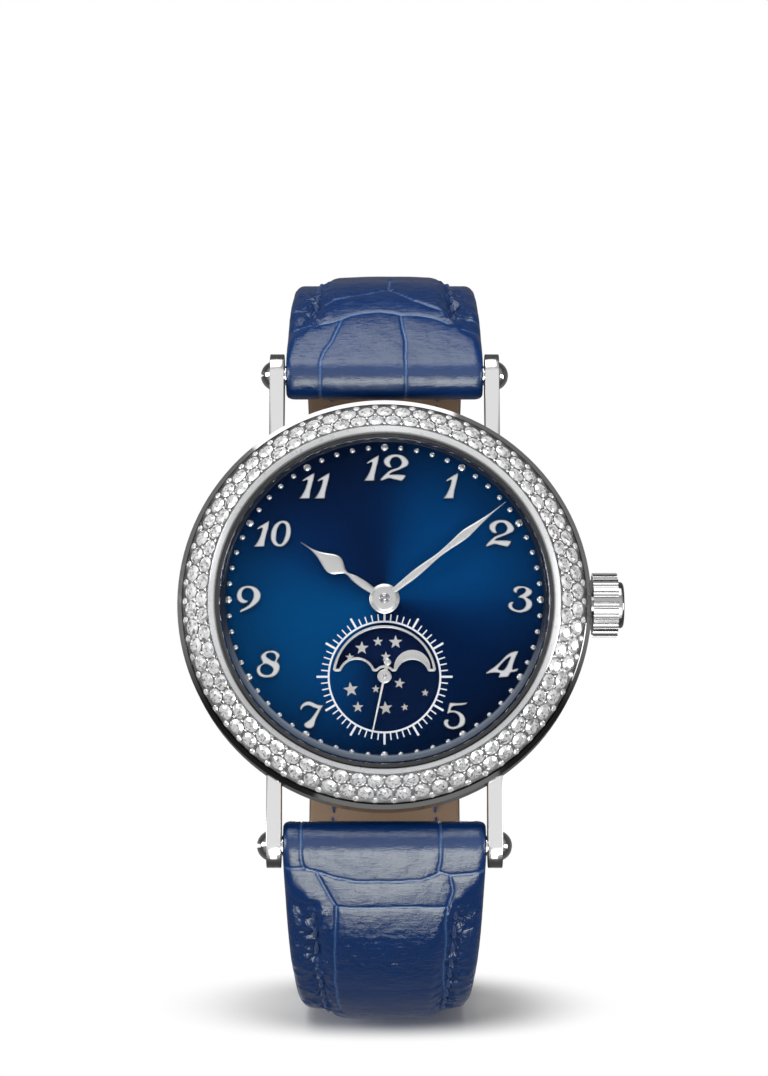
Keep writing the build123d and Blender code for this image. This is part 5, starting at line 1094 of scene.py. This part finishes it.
def domes(name, node_name, places, mat, rings, sides):
    """Rounded pips: (centre, side, side, out, radius, height) each."""
    verts, faces = [], []
    for centre, side_a, side_b, out, radius, height in places:
        start = len(verts)
        verts.append(tuple(centre + out * height))
        for i in range(1, rings + 1):
            a = pi / 2 * i / rings
            for k in range(sides):
                t = tau * k / sides
                flat = (side_a * cos(t) + side_b * sin(t)) * radius * sin(a)
                verts.append(tuple(centre + flat + out * height * cos(a)))
        for k in range(sides):
            faces.append((start, start + 1 + k, start + 1 + (k + 1) % sides))
        ring_faces(faces, start + 1, rings, sides)
    install(mesh_object(name, verts, faces), mat, "case", node_name)


bead_places = []
for place, share in ((0.38, 0.5), (1.18, 0.5), (1.58, 0.0)):
    for number in range(STONE_COUNT):
        bead_places.append((*on_slope(place, number + share), 0.14, 0.12))
domes("setting_beads", "bezel_beads", bead_places, polished, 3, 8)
DOT_CIRCLE = 12.35
dot_places = []
for minute in range(60):
    a = radians(90 - minute * 6)
    size = 0.215 if minute % 5 else 0.305
    centre = Vector((*polar(DOT_CIRCLE, a), DIAL_TOP))
    dot_places.append((centre, ACROSS, UP, OUT, size, 0.16))
domes("minute_pips", "minute_dots", dot_places, pearl_metal, 5, 16)


# Hands: domed blades lofted along their length, with a turned boss and pin
def lathe(verts, faces, centre, radius, low, high, turned, sides=40):
    """Turned disc from (radius share, height share) pairs."""
    start = len(verts)
    for r, h in turned:
        for k in range(sides):
            flat = Vector((*polar(1.0, tau * k / sides), 0.0)) * (radius * max(r, 0.001))
            verts.append(tuple(centre + flat + OUT * (low + (high - low) * h)))
    ring_faces(faces, start, len(turned), sides)


def eased_widths(shares, samples):
    """Half widths along a blade, curved through its given ones and smoothed."""
    at, half = zip(*shares)
    tangent = np.gradient(half, at)
    widths = []
    for f in samples:
        i = min(max(int(np.searchsorted(at, f, side="right")) - 1, 0), len(at) - 2)
        span = at[i + 1] - at[i]
        t = (f - at[i]) / span
        widths.append(
            (2 * t**3 - 3 * t**2 + 1) * half[i]
            + (t**3 - 2 * t**2 + t) * span * tangent[i]
            + (-2 * t**3 + 3 * t**2) * half[i + 1]
            + (t**3 - t**2) * span * tangent[i + 1]
        )
    smoother = np.hanning(9) / np.hanning(9).sum()
    return np.convolve(np.pad(widths, 4, mode="edge"), smoother, mode="valid")


def hand(name, node_name, body, degrees, centre, length, shares, boss, low, high, tail=None):
    """Blade given by (along, half width) in shares of its length, clockwise angle from twelve."""
    a = radians(90 - degrees)
    along = Vector((*polar(1.0, a), 0.0))
    side = Vector((sin(a), -cos(a), 0.0))
    centre = Vector((*centre, 0.0))
    thick = high - low
    verts, faces, rows = [], [], []

    def point(reach, aside, level):
        verts.append(tuple(centre + along * reach + side * aside + OUT * level))

    samples = np.linspace(shares[0][0], shares[-1][0], 90)
    profile = (-1.0, -0.93, -0.75, -0.4, 0.0, 0.4, 0.75, 0.93, 1.0)
    for f, w in zip(samples, eased_widths(shares, samples)):
        w = max(w, shares[-1][1] * 0.9) * length
        rows.append(len(verts))
        point(f * length, -w, low)
        for v in profile:
            crown = thick * (0.25 + 0.75 * sqrt(max(0.0, 1.0 - v * v * 0.92)))
            point(f * length, w * v, low + crown)
        point(f * length, w, low)
    n = len(profile) + 2
    for r, s in zip(rows, rows[1:]):
        for k in range(n):
            up = (k + 1) % n
            faces.append((r + k, r + up, s + up, s + k))
    faces.append(tuple(rows[-1] + k for k in range(n)))
    faces.append(tuple(rows[0] + k for k in reversed(range(n))))
    turned = [(0.0, 1.0), (0.5, 0.98), (0.8, 0.9), (0.93, 0.76), (0.99, 0.5), (1.0, 0.0)]
    lathe(verts, faces, centre, boss, low, high, turned)
    if tail:
        reach, ring = tail
        turned = [(0.0, 0.9), (0.8, 0.86), (1.0, 0.5), (1.0, 0.0)]
        lathe(verts, faces, centre - along * reach, ring, low, high, turned)
        start = len(verts)
        for f in (0.0, 1.0):
            for v, h in ((-1, 0.0), (-1, 0.6), (0, 0.9), (1, 0.6), (1, 0.0)):
                point(-f * reach, 0.5 * ring * v, low + thick * h)
        for k in range(start, start + 4):
            faces.append((k, k + 5, k + 6, k + 1))
    obj = mesh_object(name, verts, faces)
    obj.data.set_sharp_from_angle(angle=radians(50))
    install(obj, satin, body, node_name)


def pin(name, body, centre, radius, low, high, turned, sides=40):
    verts, faces = [], []
    lathe(verts, faces, Vector((*centre, 0.0)), radius, low, high, turned, sides)
    install(mesh_object(name, verts, faces), dark_steel, body)


HOUR_SHARES = (
    *((0.12, 0.034), (0.25, 0.04), (0.37, 0.032), (0.46, 0.016), (0.5, 0.038), (0.54, 0.073)),
    *((0.58, 0.094), (0.62, 0.096), (0.67, 0.08), (0.72, 0.056), (0.77, 0.036), (0.86, 0.0125)),
    (1.0, 0.004),
)
MINUTE_SHARES = (
    *((0.07, 0.018), (0.16, 0.021), (0.25, 0.0245), (0.35, 0.02), (0.44, 0.0145)),
    *((0.55, 0.02), (0.67, 0.0285), (0.76, 0.018), (0.87, 0.0065), (1.0, 0.002)),
)
SECONDS_SHARES = ((0.08, 0.0173), (1.0, 0.0116))
HAND_PIN = (
    *((0.0, 1.0), (0.45, 0.95), (0.6, 0.75), (0.62, 0.3)),
    *((0.72, 0.3), (0.74, 0.6), (0.92, 0.5), (1.0, 0.0)),
)
SECONDS_PIN = ((0.0, 1.0), (0.5, 0.94), (0.85, 0.7), (1.0, 0.0))
hand("blade_hours", "hour_hand", "hours", 304.3, (0, 0), 8.05, HOUR_SHARES, 1.2, 6.1, 6.25)
hand("blade_minutes", "minute_hand", "minutes", 51.2, (0, 0), 12.35, MINUTE_SHARES, 1.03, 6.4, 6.52)
pin("hand_pin", "minutes", (0, 0), 0.42, 6.5, 6.72, HAND_PIN)
pin("seconds_pin", "seconds", SUBDIAL, 0.2, 5.95, 6.02, SECONDS_PIN, 24)
TAIL = (1.15, 0.28)
hand("blade_seconds", "seconds_hand", "seconds", 192.0, SUBDIAL, 4.9, SECONDS_SHARES, 0.56, 5.86, 5.96, TAIL)


# Printed small seconds: ring, ticks and the lower stars, a hair above the dial
def print_material(name, tone):
    dark = tuple(c * 0.86 for c in tone)
    return speckled(name, dark, tone, 0.45, 4000.0, 3.0, 0.15, Specular_IOR_Level=0.3)


def flat_shapes(name, shapes, mat):
    level = DIAL_TOP + 0.006
    verts, faces = [], []
    for shape in shapes:
        start = len(verts)
        verts += [(x + SUBDIAL[0], y + SUBDIAL[1], level) for x, y in shape]
        faces.append(tuple(range(start, start + len(shape))))
    install(mesh_object(name, verts, faces, smooth=False), mat, "case")


def star(x, y, size):
    points = []
    turn = 8 * sin(x * 9)
    for k in range(10):
        dx, dy = polar(size if k % 2 == 0 else size * 0.42, radians(90 + k * 36 + turn))
        points.append((x + dx, y + dy))
    return points


RING_IN, RING_OUT = 4.33, 4.48
track = []
for k in range(120):
    a, b = radians(k * 3), radians(k * 3 + 3)
    corners = ((RING_IN, a), (RING_OUT, a), (RING_OUT, b), (RING_IN, b))
    track.append([polar(r, t) for r, t in corners])
for k in range(60):
    t = radians(k * 6)
    reach, w = (5.36, 0.085) if k % 5 == 0 else (5.02, 0.05)
    c, s = cos(t), sin(t)
    corners = ((4.44, -w), (reach, -w), (reach, w), (4.44, w))
    track.append([(r * c - v * s, r * s + v * c) for r, v in corners])
flat_shapes("seconds_track", track, print_material("white_print", (0.82, 0.83, 0.85)))
LOWER_STARS = (
    *((-2.65, -1.01, 0.61), (-0.69, -0.97, 0.33), (1.18, -0.52, 0.45), (3.2, -1.27, 0.31)),
    *((-2.09, -2.41, 0.45), (0.09, -2.49, 0.56), (1.59, -2.41, 0.31)),
)
stars = [star(*one) for one in LOWER_STARS]
flat_shapes("printed_stars", stars, print_material("star_print", (0.5, 0.48, 0.44)))

# Eased edges on the CAD's metal pieces
for name, width in (
    ("hour_numerals", 0.085),
    ("moon_window_rim", 0.03),
    ("strap_bars", 0.06),
    ("case_middle", 0.12),
    ("buckle_frame", 0.12),
    ("buckle_tongue", 0.12),
    ("flange", 0.03),
):
    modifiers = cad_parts[name].modifiers
    weld = modifiers.new("weld", "WELD")
    weld.merge_threshold = 0.000002
    ease = modifiers.new("eased edges", "BEVEL")
    ease.width = width * MM
    ease.segments = 2
    ease.limit_method = "ANGLE"
    ease.angle_limit = radians(35)
    even = modifiers.new("even shading", "WEIGHTED_NORMAL")
    even.keep_sharp = False
    even.weight = 100


# Studio: white tent above, a bright low band, darker between and below
world = bpy.data.worlds.new("studio")
bpy.context.scene.world = world
w = Graph(world)
level = w.span(w.split(w.node("ShaderNodeTexCoord").outputs["Generated"])["Z"], -1.0, 1.0)
TENT = (
    *((0.0, 0.16), (0.15, 0.13), (0.33, 0.07), (0.55, 0.06)),
    *((0.66, 0.2), (0.78, 0.3), (0.9, 0.4), (0.97, 0.78)),
)
tent = w.ramp(level, [(place, grey(tone)) for place, tone in TENT])
rays = w.node("ShaderNodeLightPath").outputs
seen = w.math("ADD", rays["Is Camera Ray"], rays["Is Transmission Ray"], clamp=True)
w.put(w.tree.nodes["Background"], Color=w.mix(seen, tent, (1.0, 1.0, 1.0)), Strength=1.0)


def softbox(name, direction, distance, size, power, size_y=None):
    """A lamp that looks at the case from a direction."""
    data = bpy.data.lights.new(name, "AREA")
    data.shape = "RECTANGLE"
    data.size = size
    data.size_y = size_y or size
    data.energy = power
    lamp = new_object(name, data)
    toward = Vector(direction).normalized()
    lamp.location = toward * distance + Vector((0, 0, -0.01))
    lamp.rotation_mode = "QUATERNION"
    lamp.rotation_quaternion = toward.to_track_quat("Z", "Y")
    return lamp


softbox("top_key", (-0.12, 0.85, 0.5), 0.35, 0.25, 0.46, 0.26)
overhead = softbox("overhead", (-0.05, 0.9, 0.43), 0.5, 0.16, 1.1)
overhead.visible_glossy = False
softbox("front_fill", (0.1, -0.62, 0.78), 0.4, 0.28, 0.8, 0.2)
softbox("low_band", (-0.03, -0.85, 0.47), 0.42, 0.11, 0.26, 0.18)
softbox("left_side", (-0.9, 0.1, 0.42), 0.4, 0.16, 0.6, 0.24)
softbox("right_side", (0.95, -0.1, 0.3), 0.4, 0.12, 0.4, 0.24)

# Floor under the six o'clock end: the watch stands on its strap, leaning back
FLOOR_TILT = radians(19.5)
FLOOR_MIRRORED = 0.22
FLOOR_FADE = (0.010, 0.021)
FLOOR_HALF = 1.2
FOOT_ALONG = 0.0138
STRAP_OVER = 1.65
floor_normal = Vector((0.0, cos(FLOOR_TILT), sin(FLOOR_TILT)))
floor_offset = (-CIRCLE_Y * floor_normal.y + CIRCLE_Z * floor_normal.z - (LOOP_R + STRAP_OVER)) * MM
floor_along = floor_normal.cross(ACROSS)
floor_centre = floor_normal * floor_offset
floor_mesh = bpy.data.meshes.new("floor")
floor_mesh.from_pydata(
    [
        floor_centre + ACROSS * FLOOR_HALF * a + floor_along * FLOOR_HALF * b
        for a, b in ((-1, -1), (1, -1), (1, 1), (-1, 1))
    ],
    [],
    [(0, 1, 2, 3)],
)
floor = new_object("floor", floor_mesh)
f = material("floor")
f.put(Base_Color=(0.9, 0.9, 0.9), Roughness=0.9, Specular_IOR_Level=0.0)
rays = f.node("ShaderNodeLightPath").outputs
shown = f.math("MAXIMUM", rays["Is Camera Ray"], f.mul(rays["Is Glossy Ray"], FLOOR_MIRRORED))
shown = f.math("MAXIMUM", shown, rays["Is Transmission Ray"])
white = f.node("ShaderNodeEmission")
f.put(white, Strength=shown)
place = f.node("ShaderNodeNewGeometry").outputs
from_foot = f.vector("SUBTRACT", place["Position"], floor_centre + floor_along * FOOT_ALONG)
squeezed = f.vector("MULTIPLY", from_foot, (1.0, 2.0, 2.0))
fading = f.span(f.vector("LENGTH", squeezed), *FLOOR_FADE, smooth=True)
open_floor = f.mix_shader(fading, f.main.outputs[0], white.outputs[0])
passing = f.math("MAXIMUM", place["Backfacing"], rays["Is Shadow Ray"])
passing = f.math("MAXIMUM", passing, f.mul(rays["Is Glossy Ray"], fading))
f.surface(f.mix_shader(passing, open_floor, f.node("ShaderNodeBsdfTransparent").outputs[0]))
floor.data.materials.append(f.owner)

bpy.context.scene.view_settings.view_transform = "Standard"
bpy.context.view_layer.update()
